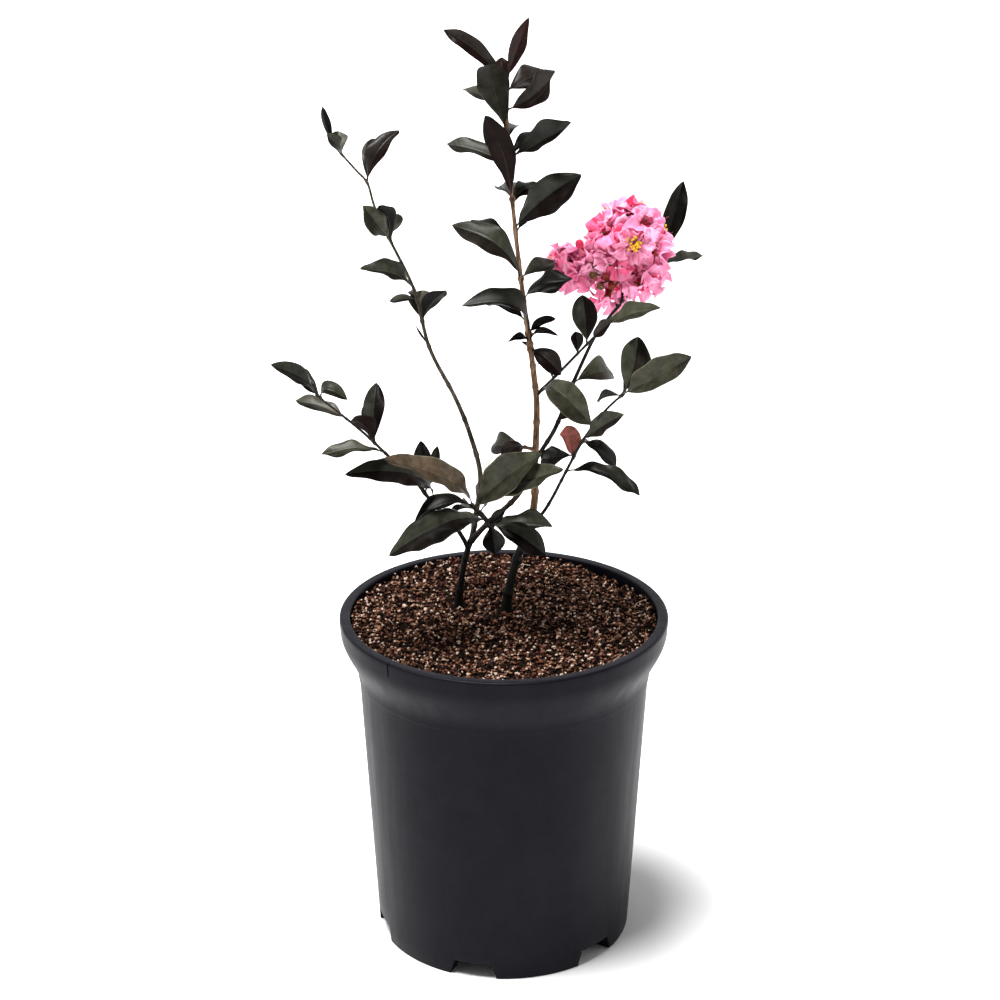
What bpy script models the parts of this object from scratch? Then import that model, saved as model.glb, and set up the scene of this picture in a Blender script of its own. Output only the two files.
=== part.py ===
# A young crape myrtle in a nursery pot: two stems, their boughs, the foliage that ends them,
# one flower panicle, the potting mix and the pot. Metres, +Z up, the pot's axis on Z.
import math
import random

import bmesh
import bpy
from mathutils import Vector

MM = 0.001
GAP = 0.3  # clearance between pieces that touch, in mm

# pot, in mm
POT_HEIGHT = 252.0
RIM_RADIUS = 120.0
LIP_WIDTH = 7.8
FLARE_BOTTOM = 206.0  # height where the flared rim meets the straight wall
WALL_TOP_RADIUS = 107.0
FOOT_RADIUS = 94.4
WALL_THICKNESS = 2.4
FLOOR_UNDERSIDE = 13.0
FLOOR_THICKNESS = 3.0
FOOT_DEPTH = 12.0
NOTCH_COUNT = 6
NOTCH_HEIGHT = 12.0
NOTCH_WIDTH_BOTTOM = 35.0
NOTCH_WIDTH_TOP = 28.0
FIRST_NOTCH_ANGLE = -104.0  # degrees from +X
DRAIN_RADIUS = 7.0
DRAIN_CIRCLE = 64.0
POT_STEPS = 42

# potting mix, in mm
MIX_LEVEL = 246.5
MIX_RINGS = 5
MIX_STEPS = 30
STEM_SINK = 10.0

# leaves and limbs, in mm
LEAF_THICKNESS = 0.8
LEAF_COLUMNS = 5
SMALL_LEAF = 24.0  # shorter leaves have fewer columns
SMALL_LEAF_COLUMNS = 3
PETIOLE_SHARE = 0.07
LEAF_SWELL = 1.25  # above 1 a leaf is widest beyond its middle
LIMB_STEP = 12.0

# panicle, in mm
FLORET_RADIUS = 16.0
PETALS = 6
PETAL_THICKNESS = 1.0

# Each branch is one smooth route of points in mm. Up to "bare" (a share of its length) it is a
# bough; from there it is the stem of a mass of foliage. Its foot is coped to the branch named in
# "on". A leaf is (share of the length where it sits, reach to its tip, width, arch as a share of
# its length, degrees that its upper side is tipped from the sky towards the front).
BRANCHES = {
    "main_stem": {
        "route": [(1, 4, 241), (3, 4, 264), (9, 5, 291), (18, 6, 316), (22, 6, 338), (22, 5, 361), (23, 4, 393),
                  (23, 3, 415), (21, 2, 434), (17, 0, 465), (12, -2, 502), (7, -3, 547), (3, 0, 589), (1, 4, 643)],
        "radius": (3.4, 0.9), "flare": 3.0, "bare": 0.49, "mass": "leader_foliage",
        "leaves": [
            (0.50, (14, 10, -14), 6, 0.25, 10), (0.53, (21, -18, -13), 16, 0.15, 45),
            (0.53, (-7, 5, 4), 4, 0.10, 20), (0.54, (-15, -6, 4), 7, 0.30, 25),
            (0.54, (20, -12, 9), 9, 0.30, 15), (0.56, (19, 8, 9), 9, 0.10, 30),
            (0.56, (-46, -16, 25), 24, 0.33, 28), (0.58, (-31, 36, 8), 18, 0.10, 20),
            (0.62, (34, -12, 18), 20, 0.20, 25), (0.66, (23, 20, 6), 17, 0.15, 30),
            (0.66, (-48, 14, 34), 24, 0.28, 35), (0.69, (-33, 34, 22), 18, 0.10, 20),
            (0.74, (30, 36, 19), 19, 0.10, 20), (0.75, (44, -10, 40), 25, 0.10, 55),
            (0.79, (16, 26, 9), 13, 0.10, 25), (0.80, (-8, 28, 1), 13, 0.10, 30),
            (0.80, (6, 26, 4), 12, 0.10, 30), (0.80, (-18, -26, 63), 19, 0.05, -75),
            (0.82, (-7, 30, 23), 16, 0.10, 60), (0.86, (-43, 18, 10), 19, 0.05, 28),
            (0.87, (43, -16, 27), 21, -0.05, 40), (0.87, (27, 30, 9), 15, 0.10, 20),
            (0.88, (18, 24, -6), 11, 0.10, 10), (0.90, (6, 30, 3), 12, 0.10, 20),
            (0.91, (-12, -24, 54), 24, 0.10, -80), (0.93, (-10, 28, 25), 15, 0.10, 60),
            (0.95, (33, -18, 30), 23, -0.10, 48), (0.95, (-30, 26, 9), 13, 0.10, 30),
            (0.98, (30, 18, 9), 22, 0.12, 45), (0.98, (-3, 12, 21), 12, 0.10, 70),
            (0.99, (-42, 16, 35), 14, 0.06, 45), (1.00, (15, -8, 43), 11, 0.05, 60),
        ],
    },
    "left_stem": {
        "route": [(-34, 13, 241), (-32, 11, 266), (-28, 8, 292), (-23, 5, 310), (-20, 6, 328), (-17, 8, 357),
                  (-25, 12, 388), (-35, 18, 412), (-53, 24, 447), (-63, 31, 486), (-80, 39, 521), (-91, 45, 544),
                  (-96, 49, 560), (-104, 51, 569), (-119, 55, 585)],
        "radius": (2.5, 0.7), "flare": 2.5, "bare": 0.57, "mass": "left_tall_foliage",
        "leaves": [
            (0.58, (-10, 6, 14), 2.5, 0.0, 0), (0.63, (-1, 20, 17), 18, 0.10, 60),
            (0.63, (17, -16, 27), 15, 0.10, -40), (0.64, (5, 30, 6), 15, 0.10, 30),
            (0.67, (-20, 10, -4), 10, 0.15, 40), (0.67, (-6, 14, 3), 7, 0.10, 30),
            (0.69, (-38, -18, 20), 18, 0.14, 38), (0.79, (-6, -20, 33), 13, 0.10, -70),
            (0.80, (-16, -18, 27), 17, 0.10, 60), (0.80, (6, 18, 12), 13, 0.10, 40),
            (0.80, (-9, 30, 8), 15, 0.10, 30), (0.91, (22, 16, 34), 17, 0.14, 30),
            (0.91, (6, 30, 25), 15, 0.10, 30), (0.98, (-3, 14, 13), 13, 0.10, 60),
            (0.98, (-10, -16, 18), 11, 0.10, 45), (1.00, (-7, -12, 30), 7, 0.05, -60),
        ],
    },
    "low_left_bough": {
        "on": "left_stem",
        "route": [(-26, 6, 301), (-34, -2, 319), (-42, -9, 332), (-50, -16, 343), (-66, -30, 371), (-80, -44, 390),
                  (-95, -60, 412), (-110, -76, 432), (-125, -94, 452)],
        "radius": (1.7, 0.7), "bare": 0.24, "mass": "low_left_foliage",
        "leaves": [
            (0.26, (-57, -40, 40), 24, 0.25, 32), (0.32, (9, 10, 32), 9, 0.10, 30),
            (0.33, (-2, 14, 33), 14, 0.10, 40), (0.43, (14, 34, -4), 14, 0.10, 30),
            (0.58, (-44, -4, 0), 16, 0.12, 12), (0.65, (-12, -20, 25), 18, 0.10, -45),
            (0.65, (1, 20, 37), 15, 0.10, 75), (0.68, (2, 36, 12), 14, 0.10, 30),
            (0.82, (-35, 10, 9), 17, 0.05, 20), (0.97, (18, -12, 4), 14, 0.45, 40),
            (0.97, (-20, 26, 14), 12, 0.10, 40), (1.00, (-29, -18, 27), 15, 0.10, 38),
        ],
    },
    "flower_bough": {
        "on": "left_stem",
        "route": [(-24, 5, 306), (-14, -6, 322), (-3, -12, 335), (11, -16, 352), (22, -18, 377), (36, -14, 400),
                  (47, -6, 427), (63, 10, 458), (75, 20, 472), (83, 26, 481), (84, 38, 496)],
        "radius": (2.1, 1.0), "bare": 0.49, "mass": "flower_spray",
        "leaves": [
            (0.51, (16, 8, 17), 16, 0.10, 50), (0.63, (29, 20, 1), 20, 0.20, 45),
        ],
        "twig": [(80, 24, 478), (97, 50, 485), (113, 80, 494)],
        "twig_leaves": [
            (1.00, (17, 22, 54), 18, 0.05, 60), (0.87, (38, 38, -2), 14, 0.05, 20),
            (0.49, (-1, 46, 32), 18, 0.10, 40), (0.49, (-27, 50, 23), 18, 0.10, 40),
        ],
    },
    "right_bough": {
        "on": "main_stem",
        "route": [(20, 6, 321), (27, 0, 329), (34, -8, 344), (41, -18, 363), (52, -32, 392), (60, -38, 408),
                  (71, -46, 426), (82, -52, 439)],
        "radius": (1.3, 0.8), "bare": 0.36, "mass": "right_foliage",
        "leaves": [
            (0.42, (51, -16, -14), 20, 0.15, 14), (0.52, (-5, -8, 26), 16, 0.05, -30),
            (0.53, (4, 4, 13), 9, 0.05, -30), (0.54, (-23, 18, -10), 16, 0.12, 55),
            (0.63, (24, -8, -14), 16, 0.25, 20), (0.63, (14, 30, -20), 14, 0.10, 20),
            (0.65, (26, -18, 25), 16, 0.05, 45), (0.98, (-16, 12, -8), 11, 0.10, 20),
            (0.98, (22, 36, 8), 16, 0.10, 20), (0.99, (46, -22, 34), 24, 0.08, 50),
            (1.00, (10, 20, 34), 22, 0.08, 65),
        ],
    },
    "side_twig": {
        "on": "main_stem",
        "route": [(23, 3, 419), (27, 0, 424), (41, -14, 444), (59, -24, 467), (70, -28, 479)],
        "radius": (1.2, 0.8), "bare": 0.0, "mass": "side_foliage",
        "leaves": [
            (0.09, (34, -36, -15), 24, 0.30, 50), (0.63, (-1, 10, 13), 10, 0.10, 60),
            (0.76, (-3, 14, 31), 19, 0.10, 75), (0.84, (13, -10, 16), 11, 0.10, 45),
            (0.94, (40, -16, 21), 15, 0.10, 35),
        ],
    },
    "hub_twig": {
        "on": "flower_bough",
        "route": [(-9, -9, 328), (-10, -17, 328), (-15, -21, 336), (-23, -27, 347)],
        "radius": (2.0, 1.4), "bare": 0.0, "mass": "hub_foliage",
        "leaves": [
            (0.20, (44, -4, 0), 20, 0.02, 25), (0.20, (39, -10, -20), 20, 0.15, 45),
            (0.20, (3, -9, -19), 17, 0.10, 70), (0.33, (-68, -44, -5), 25, 0.23, 40),
            (0.61, (-44, -14, -22), 14, 0.25, 20), (0.68, (59, -30, 44), 24, 0.12, 30),
            (0.87, (46, -16, 47), 28, 0.10, 55), (0.97, (-40, -20, -4), 17, 0.16, 22),
            (1.00, (-60, -40, 50), 22, 0.18, 40), (0.30, (12, -10, 15), 9, 0.10, 60),
        ],
    },
    "low_twig": {
        "on": "main_stem",
        "route": [(22, 4, 377), (14, 2, 380)],
        "radius": (1.2, 1.0), "bare": 0.0, "mass": "low_stem_foliage",
        "leaves": [(0.98, (-24, 18, -6), 17, 0.08, 45), (0.98, (-17, -16, -4), 15, 0.20, 50)],
    },
    "back_twig": {
        "on": "main_stem",
        "route": [(22, 6, 347), (22, 14, 347)],
        "radius": (1.2, 1.0), "bare": 0.0, "mass": "back_foliage",
        "leaves": [(1.0, (-25, 40, -3), 18, 0.10, 20), (1.0, (8, 40, -3), 16, 0.10, 20),
                   (1.0, (-10, 44, -14), 16, 0.10, 20)],
    },
    "back_left_twig": {
        "on": "left_stem",
        "route": [(-20, 7, 328), (-20, 16, 326)],
        "radius": (1.2, 1.0), "bare": 0.0, "mass": "back_left_foliage",
        "leaves": [(1.0, (-20, 40, -24), 18, 0.10, 20), (1.0, (13, 40, 8), 16, 0.10, 20)],
    },
}

# Heads of the panicle: centre, half axes of the ball that the florets stand on, their number.
PANICLE_HEADS = [((88, 46, 517), (27, 26, 30), 12), ((49, 41, 502), (12, 12, 11), 4)]
CORE_SHARE = 0.78  # the packed heart of each head
HANGING_FLORET = (73, 37, 480)


def make_material(name, colour, roughness, metallic=0.0):
    material = bpy.data.materials.new(name)
    material.use_nodes = True
    shader = material.node_tree.nodes["Principled BSDF"]
    shader.inputs["Base Color"].default_value = (*colour, 1.0)
    shader.inputs["Roughness"].default_value = roughness
    shader.inputs["Metallic"].default_value = metallic
    material.diffuse_color = (*colour, 1.0)
    return material


def smooth_route(points, steps=12):
    """Catmull-Rom curve through the points, in mm."""
    points = [Vector(point) for point in points]
    ends = [2 * points[0] - points[1]] + points + [2 * points[-1] - points[-2]]
    curve = []
    for a, b, c, d in zip(ends, ends[1:], ends[2:], ends[3:]):
        for step in range(steps):
            t = step / steps
            curve.append(0.5 * (2 * b + (c - a) * t + (2 * a - 5 * b + 4 * c - d) * t * t
                                + (3 * b - a - 3 * c + d) * t ** 3))
    return curve + [points[-1]]


def lengths_along(curve):
    lengths = [0.0]
    for start, end in zip(curve, curve[1:]):
        lengths.append(lengths[-1] + (end - start).length)
    return lengths


def point_at(curve, share):
    """The point a share of the way along the curve."""
    lengths = lengths_along(curve)
    wanted = share * lengths[-1]
    for index in range(1, len(curve)):
        if lengths[index] >= wanted - 1e-9:
            span = lengths[index] - lengths[index - 1]
            return curve[index - 1].lerp(curve[index], (wanted - lengths[index - 1]) / span)
    return curve[-1].copy()


def limb_radius(branch, share, height):
    """The limb tapers evenly and swells into its root flare at the mix."""
    foot, tip = branch["radius"]
    flare = branch.get("flare", 0.0) * math.exp(-max(height - MIX_LEVEL, 0.0) / 7.0)
    return foot + (tip - foot) * share ** 0.8 + flare


def add_object(name, mesh, collection, material=None):
    thing = bpy.data.objects.new(name, mesh)
    collection.objects.link(thing)
    if material:
        thing.data.materials.clear()
        thing.data.materials.append(material)
    return thing


def add_body(name, body, collection):
    """Stores a bmesh as a new object and frees it."""
    mesh = bpy.data.meshes.new(name)
    body.to_mesh(mesh)
    body.free()
    return add_object(name, mesh, collection)


def thicken(thing, thickness):
    shell = thing.modifiers.new("thickness", "SOLIDIFY")
    shell.thickness = thickness * MM
    shell.offset = 0.0
    return settle(thing)


def settle(thing, merge=0.0):
    """Turns an object with its modifiers, or a curve, into a plain mesh object of the same name."""
    graph = bpy.context.evaluated_depsgraph_get()
    mesh = bpy.data.meshes.new_from_object(thing.evaluated_get(graph), depsgraph=graph)
    if merge:
        body = bmesh.new()
        body.from_mesh(mesh)
        bmesh.ops.remove_doubles(body, verts=body.verts, dist=merge)
        bmesh.ops.recalc_face_normals(body, faces=body.faces)
        body.to_mesh(mesh)
        body.free()
    name = thing.name
    collection = thing.users_collection[0]
    bpy.data.objects.remove(thing)
    return add_object(name, mesh, collection)


def make_limb(name, branch, start, end, collection, extra=0.0, sides=8):
    """A tapered round limb along part of a branch's route; a cutter is fatter by extra."""
    curve = smooth_route(branch["route"])
    length = lengths_along(curve)[-1]
    spans = max(2, round((end - start) * length / LIMB_STEP))
    data = bpy.data.curves.new(name, "CURVE")
    data.dimensions = "3D"
    data.bevel_depth = MM
    data.bevel_resolution = sides // 2 - 2
    data.use_fill_caps = True
    spline = data.splines.new("POLY")
    spline.points.add(spans)
    for index, point in enumerate(spline.points):
        share = start + (end - start) * index / spans
        place = point_at(curve, share)
        point.co = (*(place * MM), 1.0)
        point.radius = limb_radius(branch, share, place.z) + extra
    thing = add_object(name, data, collection)
    return settle(thing, merge=1e-6)


def leaf_place(base, reach, width, arch, face, seed):
    """Returns the function from (share along, share across -1 to 1) to a point of the blade in mm.

    The midrib runs from the base to the tip and arches towards the upper side; the half width
    follows a sine that is pinched to a petiole; both halves fold up, and the blade twists and
    waves a little, differently for each seed.
    """
    draw = random.Random(seed)
    fold = math.radians(draw.uniform(10, 30))
    twist = math.radians(draw.uniform(-25, 25))
    bend = draw.uniform(-0.05, 0.05)
    wave = draw.uniform(0.03, 0.09) * width
    phase = draw.uniform(0, math.tau)
    base = Vector(base)
    reach = Vector(reach)
    along = reach.normalized()
    tip = math.radians(face)
    up = Vector((0, -math.sin(tip), math.cos(tip)))
    up = (up - up.dot(along) * along).normalized()
    side = up.cross(along)

    def place(t, s):
        u = max(0.0, (t - PETIOLE_SHARE) / (1 - PETIOLE_SHARE))
        half = 0.5 * width * math.sin(math.pi * min(u, 1.0) ** LEAF_SWELL) ** 0.75
        half = max(half, min(0.5 * width, 0.7 - 0.2 * t))
        hump = math.sin(math.pi * t ** 0.85)
        rib = base + along * (reach.length * t) + up * (arch * reach.length * hump)
        rib += side * (bend * reach.length * math.sin(math.pi * t))
        turn = twist * (t - 0.3)
        across = side * math.cos(turn) + up * math.sin(turn)
        above = up * math.cos(turn) - side * math.sin(turn)
        ripple = wave * s * s * math.sin(9.0 * t + phase + 1.3 * s) * min(1.0, 4 * half / width)
        return rib + across * (s * half * math.cos(fold)) + above * (abs(s) * half * math.sin(fold) + ripple)

    return place


def make_leaf(base, leaf, seed, collection):
    """A grid two rows wide, moved into place by the leaf's function, then given its thickness."""
    reach, width, arch, face = leaf[1:]
    place = leaf_place(base, reach, width, arch, face, seed)
    columns = LEAF_COLUMNS if Vector(reach).length > SMALL_LEAF else SMALL_LEAF_COLUMNS
    body = bmesh.new()
    bmesh.ops.create_grid(body, x_segments=columns, y_segments=2, size=1.0)
    for vertex in body.verts:
        vertex.co = place((vertex.co.x + 1) / 2, vertex.co.y) * MM
    thing = add_body("leaf", body, collection)
    return thicken(thing, LEAF_THICKNESS)


def make_floret(centre, outward, seed, collection):
    """One ruffled floret of six petals: a wavy star facing outward."""
    draw = random.Random(seed)
    phases = [draw.uniform(0, math.tau) for _ in range(2)]
    outward = Vector(outward).normalized()
    side = outward.orthogonal().normalized()
    other = outward.cross(side)
    centre = Vector(centre)

    def place(t, s):
        share = (s + 1) / 2
        angle = math.tau * t
        radius = FLORET_RADIUS * share * (0.85 + 0.15 * math.cos(PETALS * angle))
        lift = 5.0 * share + 2.6 * share * math.sin(4 * angle + phases[0])
        lift += 1.8 * share * math.sin(7 * angle + phases[1]) - 3.0
        return centre + side * (radius * math.cos(angle)) + other * (radius * math.sin(angle)) + outward * lift

    body = bmesh.new()
    bmesh.ops.create_grid(body, x_segments=2 * PETALS, y_segments=1, size=1.0)
    for vertex in body.verts:
        vertex.co = place((vertex.co.x + 1) / 2, vertex.co.y) * MM
    bmesh.ops.remove_doubles(body, verts=body.verts, dist=1e-6)
    thing = add_body("floret", body, collection)
    return thicken(thing, PETAL_THICKNESS)


def make_stalk(start, end, radius, collection):
    """A thin tapered stalk between two points in mm."""
    start = Vector(start)
    end = Vector(end)
    body = bmesh.new()
    bmesh.ops.create_cone(body, cap_ends=True, cap_tris=True, segments=5, radius1=radius * MM,
                          radius2=0.7 * radius * MM, depth=(end - start).length * MM)
    turn = (end - start).to_track_quat("Z", "Y")
    bmesh.ops.rotate(body, verts=body.verts, cent=(0, 0, 0), matrix=turn.to_matrix())
    bmesh.ops.translate(body, verts=body.verts, vec=(start + end) / 2 * MM)
    return add_body("stalk", body, collection)


def add_panicle(root, collection):
    """Florets stand round two packed hearts, evenly spaced by the golden angle, on stalks."""
    seed = 500
    for centre, half_axes, count in PANICLE_HEADS:
        centre = Vector(centre)
        make_stalk(root, centre, 1.5, collection)
        body = bmesh.new()
        bmesh.ops.create_icosphere(body, subdivisions=2, radius=1.0)
        for vertex in body.verts:
            vertex.co = (centre + Vector(half_axes) * vertex.co * CORE_SHARE) * MM
        add_body("heart", body, collection)
        for index in range(count):
            seed += 1
            rise = 0.92 - 1.55 * index / (count - 1)
            turn = 2.399963 * index + 0.6
            level = math.sqrt(1 - rise * rise)
            outward = Vector((level * math.cos(turn), level * math.sin(turn), rise))
            spot = centre + Vector(half_axes) * outward
            make_stalk(centre, spot - outward * 1.5, 1.0, collection)
            make_floret(spot, outward, seed, collection)
    hanging = Vector(HANGING_FLORET)
    make_stalk(root, hanging, 1.0, collection)
    make_floret(hanging, (-0.2, -0.6, -0.7), seed + 1, collection)


def keep_largest_body(thing):
    """Drops loose scraps and sealed hollows that a union leaves."""
    body = bmesh.new()
    body.from_mesh(thing.data)
    left = set(body.verts)
    bodies = []
    while left:
        start = left.pop()
        island = {start}
        queue = [start]
        while queue:
            vertex = queue.pop()
            for edge in vertex.link_edges:
                other = edge.other_vert(vertex)
                if other in left:
                    left.discard(other)
                    island.add(other)
                    queue.append(other)
        bodies.append(island)
    bodies.sort(key=len)
    for island in bodies[:-1]:
        bmesh.ops.delete(body, geom=list(island), context="VERTS")
    body.to_mesh(thing.data)
    body.free()
    return len(bodies) - 1


def fuse(thing, parts):
    """One union of the object with all the parts of a collection, which are then removed."""
    union = thing.modifiers.new("fuse", "BOOLEAN")
    union.operation = "UNION"
    union.operand_type = "COLLECTION"
    union.collection = parts
    union.solver = "MANIFOLD"
    fused = settle(thing)
    for part in list(parts.objects):
        bpy.data.objects.remove(part)
    bpy.data.collections.remove(parts)
    dropped = keep_largest_body(fused)
    print(fused.name, "triangles", len(fused.data.polygons), "scraps dropped", dropped)
    return fused


def cope(thing, cutter):
    """Cuts the object clear of a fattened limb."""
    cut = thing.modifiers.new("cope", "BOOLEAN")
    cut.operation = "DIFFERENCE"
    cut.solver = "EXACT"
    cut.object = cutter
    coped = settle(thing)
    keep_largest_body(coped)
    return coped


def make_cutter(name, branch, cutters):
    cutter = make_limb(name, branch, 0.0, branch["bare"], cutters, extra=GAP + 0.05)
    cutter.hide_render = True
    cutter.display_type = "WIRE"
    return cutter


def make_mass(branch, seed, plant, sides):
    """The mass of foliage that a branch ends in: its stem with every leaf fused on."""
    curve = smooth_route(branch["route"])
    length = lengths_along(curve)[-1]
    start = branch["bare"] + GAP / length if branch["bare"] else 0.0
    mass = make_limb(branch["mass"], branch, start, 1.0, plant, sides=sides)
    parts = bpy.data.collections.new("parts")
    bpy.context.scene.collection.children.link(parts)
    for index, leaf in enumerate(branch["leaves"]):
        make_leaf(point_at(curve, leaf[0]), leaf, seed + index, parts)
    if "twig" in branch:
        twig = {"route": branch["twig"], "radius": (1.0, 0.7)}
        twig_curve = smooth_route(branch["twig"])
        make_limb("twig", twig, 0.0, 1.0, parts, sides=6)
        for index, leaf in enumerate(branch["twig_leaves"]):
            make_leaf(point_at(twig_curve, leaf[0]), leaf, seed + 50 + index, parts)
        add_panicle(branch["route"][-1], parts)
    return fuse(mass, parts)


def pot_profile():
    """Half section of the pot in mm: floor, inner wall, lip, outer side, foot ring, underside."""
    lip_inner = RIM_RADIUS - LIP_WIDTH
    floor_top = FLOOR_UNDERSIDE + FLOOR_THICKNESS
    inner_foot = FOOT_RADIUS + 0.8 - WALL_THICKNESS
    flare_height = POT_HEIGHT - FLARE_BOTTOM
    section = [(0.0, floor_top), (inner_foot - 3.0, floor_top), (inner_foot, floor_top + 3.0),
               (WALL_TOP_RADIUS - WALL_THICKNESS, FLARE_BOTTOM - 4.0), (lip_inner, POT_HEIGHT - 6.0),
               (lip_inner, POT_HEIGHT - 0.8), (lip_inner + 0.8, POT_HEIGHT), (RIM_RADIUS - 1.2, POT_HEIGHT),
               (RIM_RADIUS, POT_HEIGHT - 1.4), (RIM_RADIUS - 0.8, POT_HEIGHT - 9.0)]
    for step in range(1, 5):
        share = step / 5
        radius = RIM_RADIUS - 0.8 + (WALL_TOP_RADIUS + 0.8 - RIM_RADIUS) * (1 - math.cos(math.pi * share)) / 2
        section.append((radius, POT_HEIGHT - 9.0 - (flare_height - 9.0) * share))
    section += [(WALL_TOP_RADIUS, FLARE_BOTTOM), (WALL_TOP_RADIUS - 0.8, FLARE_BOTTOM - 2.0),
                (FOOT_RADIUS + 0.2, 1.0), (FOOT_RADIUS - 0.8, 0.0), (FOOT_RADIUS - FOOT_DEPTH, 0.0),
                (FOOT_RADIUS - FOOT_DEPTH - 0.6, FLOOR_UNDERSIDE), (0.0, FLOOR_UNDERSIDE)]
    return section


def turned(name, section, steps, collection, material):
    """A solid of revolution round Z from a half section in mm that starts and ends on the axis."""
    mesh = bpy.data.meshes.new(name)
    points = [(radius * MM, 0.0, height * MM) for radius, height in section]
    mesh.from_pydata(points, [(index, index + 1) for index in range(len(points) - 1)], [])
    thing = add_object(name, mesh, collection, material)
    screw = thing.modifiers.new("turn", "SCREW")
    screw.angle = math.tau
    screw.steps = steps
    screw.render_steps = steps
    screw.use_merge_vertices = True
    screw.merge_threshold = 1e-5
    return thing


def make_pot(plant, cutters, material):
    pot = turned("pot", pot_profile(), POT_STEPS, plant, material)
    for index in range(NOTCH_COUNT):
        angle = math.radians(FIRST_NOTCH_ANGLE + index * 360 / NOTCH_COUNT)
        body = bmesh.new()
        bmesh.ops.create_cube(body, size=1.0)
        for vertex in body.verts:
            low = vertex.co.z < 0
            width = NOTCH_WIDTH_BOTTOM if low else NOTCH_WIDTH_TOP
            height = -2.0 if low else NOTCH_HEIGHT
            reach = FOOT_RADIUS - FOOT_DEPTH - 5.0 if vertex.co.x < 0 else FOOT_RADIUS + 8.0
            vertex.co = Vector((reach, width * vertex.co.y, height)) * MM
        add_pot_cutter("notch_cutter_%d" % index, body, angle, pot, cutters)
        body = bmesh.new()
        bmesh.ops.create_cone(body, cap_ends=True, segments=14, radius1=DRAIN_RADIUS * MM,
                              radius2=DRAIN_RADIUS * MM, depth=3 * FLOOR_THICKNESS * MM)
        centre = (DRAIN_CIRCLE * MM, 0.0, (FLOOR_UNDERSIDE + FLOOR_THICKNESS / 2) * MM)
        bmesh.ops.translate(body, verts=body.verts, vec=centre)
        add_pot_cutter("drain_cutter_%d" % index, body, angle, pot, cutters)
    return pot


def add_pot_cutter(name, body, angle, pot, cutters):
    cutter = add_body(name, body, cutters)
    cutter.rotation_euler.z = angle
    cutter.hide_render = True
    cutter.display_type = "WIRE"
    cut = pot.modifiers.new(name, "BOOLEAN")
    cut.operation = "DIFFERENCE"
    cut.solver = "EXACT"
    cut.object = cutter


def mix_height(x, y):
    """The mix is a little proud round the stems, high at the back and low at the right back."""
    mound = 4.0 * math.exp(-((x + 5) ** 2 + (y - 15) ** 2) / 70 ** 2)
    back = 3.5 * math.exp(-((x + 15) ** 2 + (y - 95) ** 2) / 45 ** 2)
    dip = 3.0 * math.exp(-((x - 85) ** 2 + (y - 60) ** 2) / 35 ** 2)
    lumps = 0.7 * math.sin(0.21 * x + 1.3) * math.sin(0.17 * y) + 0.5 * math.sin(0.11 * x - 0.26 * y)
    return MIX_LEVEL + mound + back - dip + lumps


def make_mix(plant, stem_cutters, material):
    floor = FLOOR_UNDERSIDE + FLOOR_THICKNESS + GAP
    clear = WALL_THICKNESS + GAP + 0.1
    side_low = FOOT_RADIUS + 0.8 - clear
    side_mid = WALL_TOP_RADIUS - clear
    side_top = side_mid + (RIM_RADIUS - LIP_WIDTH - WALL_TOP_RADIUS + WALL_THICKNESS) * 0.86
    section = [(side_top * ring / MIX_RINGS, MIX_LEVEL) for ring in range(MIX_RINGS + 1)]
    section += [(side_mid, FLARE_BOTTOM - 4.0), (side_low, floor + 3.2), (side_low - 3.2, floor), (0.0, floor)]
    mix = settle(turned("potting_mix", section, MIX_STEPS, plant, material), merge=1e-6)
    for vertex in mix.data.vertices:
        if vertex.co.z > (MIX_LEVEL - 1.0) * MM:
            vertex.co.z = mix_height(vertex.co.x / MM, vertex.co.y / MM) * MM
    mix.data.materials.clear()
    mix.data.materials.append(material)
    for cutter in stem_cutters:
        cut = mix.modifiers.new("stem_socket", "BOOLEAN")
        cut.operation = "DIFFERENCE"
        cut.solver = "EXACT"
        cut.object = cutter
    return mix


def smooth_shade(thing, angle):
    thing.data.shade_smooth()
    thing.data.set_sharp_from_angle(angle=math.radians(angle))


def build():
    for thing in list(bpy.data.objects):
        bpy.data.objects.remove(thing)
    scene = bpy.context.scene
    plant = bpy.data.collections.new("crape_myrtle")
    cutters = bpy.data.collections.new("cutters")
    scene.collection.children.link(plant)
    scene.collection.children.link(cutters)

    bark = make_material("bark", (0.125, 0.085, 0.060), 0.75)
    leaf = make_material("leaf", (0.030, 0.032, 0.026), 0.45)
    blossom = make_material("blossom", (0.800, 0.170, 0.340), 0.60)
    plastic = make_material("pot_plastic", (0.020, 0.020, 0.022), 0.38)
    peat = make_material("potting_mix", (0.090, 0.045, 0.028), 0.95)

    limb_cutters = {}
    for name in ("main_stem", "left_stem", "flower_bough"):
        limb_cutters[name] = make_cutter(name + "_clearance", BRANCHES[name], cutters)

    for order, (name, branch) in enumerate(BRANCHES.items()):
        pieces = []
        if branch["bare"]:
            pieces.append((make_limb(name, branch, 0.0, branch["bare"], plant), bark))
        mass = make_mass(branch, 100 * order, plant, sides=6)
        pieces.append((mass, blossom if mass.name == "flower_spray" else leaf))
        for position, (piece, material) in enumerate(pieces):
            if "on" in branch and position == 0:
                piece = cope(piece, limb_cutters[branch["on"]])
            piece.data.materials.clear()
            piece.data.materials.append(material)
            smooth_shade(piece, 40)

    pot = make_pot(plant, cutters, plastic)
    smooth_shade(pot, 30)
    mix = make_mix(plant, [limb_cutters["main_stem"], limb_cutters["left_stem"]], peat)
    smooth_shade(mix, 30)


build()
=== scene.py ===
# A young crape myrtle in a nursery pot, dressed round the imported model.
# Lengths are in millimetres until a mesh is made, and shares run from 0 to 1.
import math
import random

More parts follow.
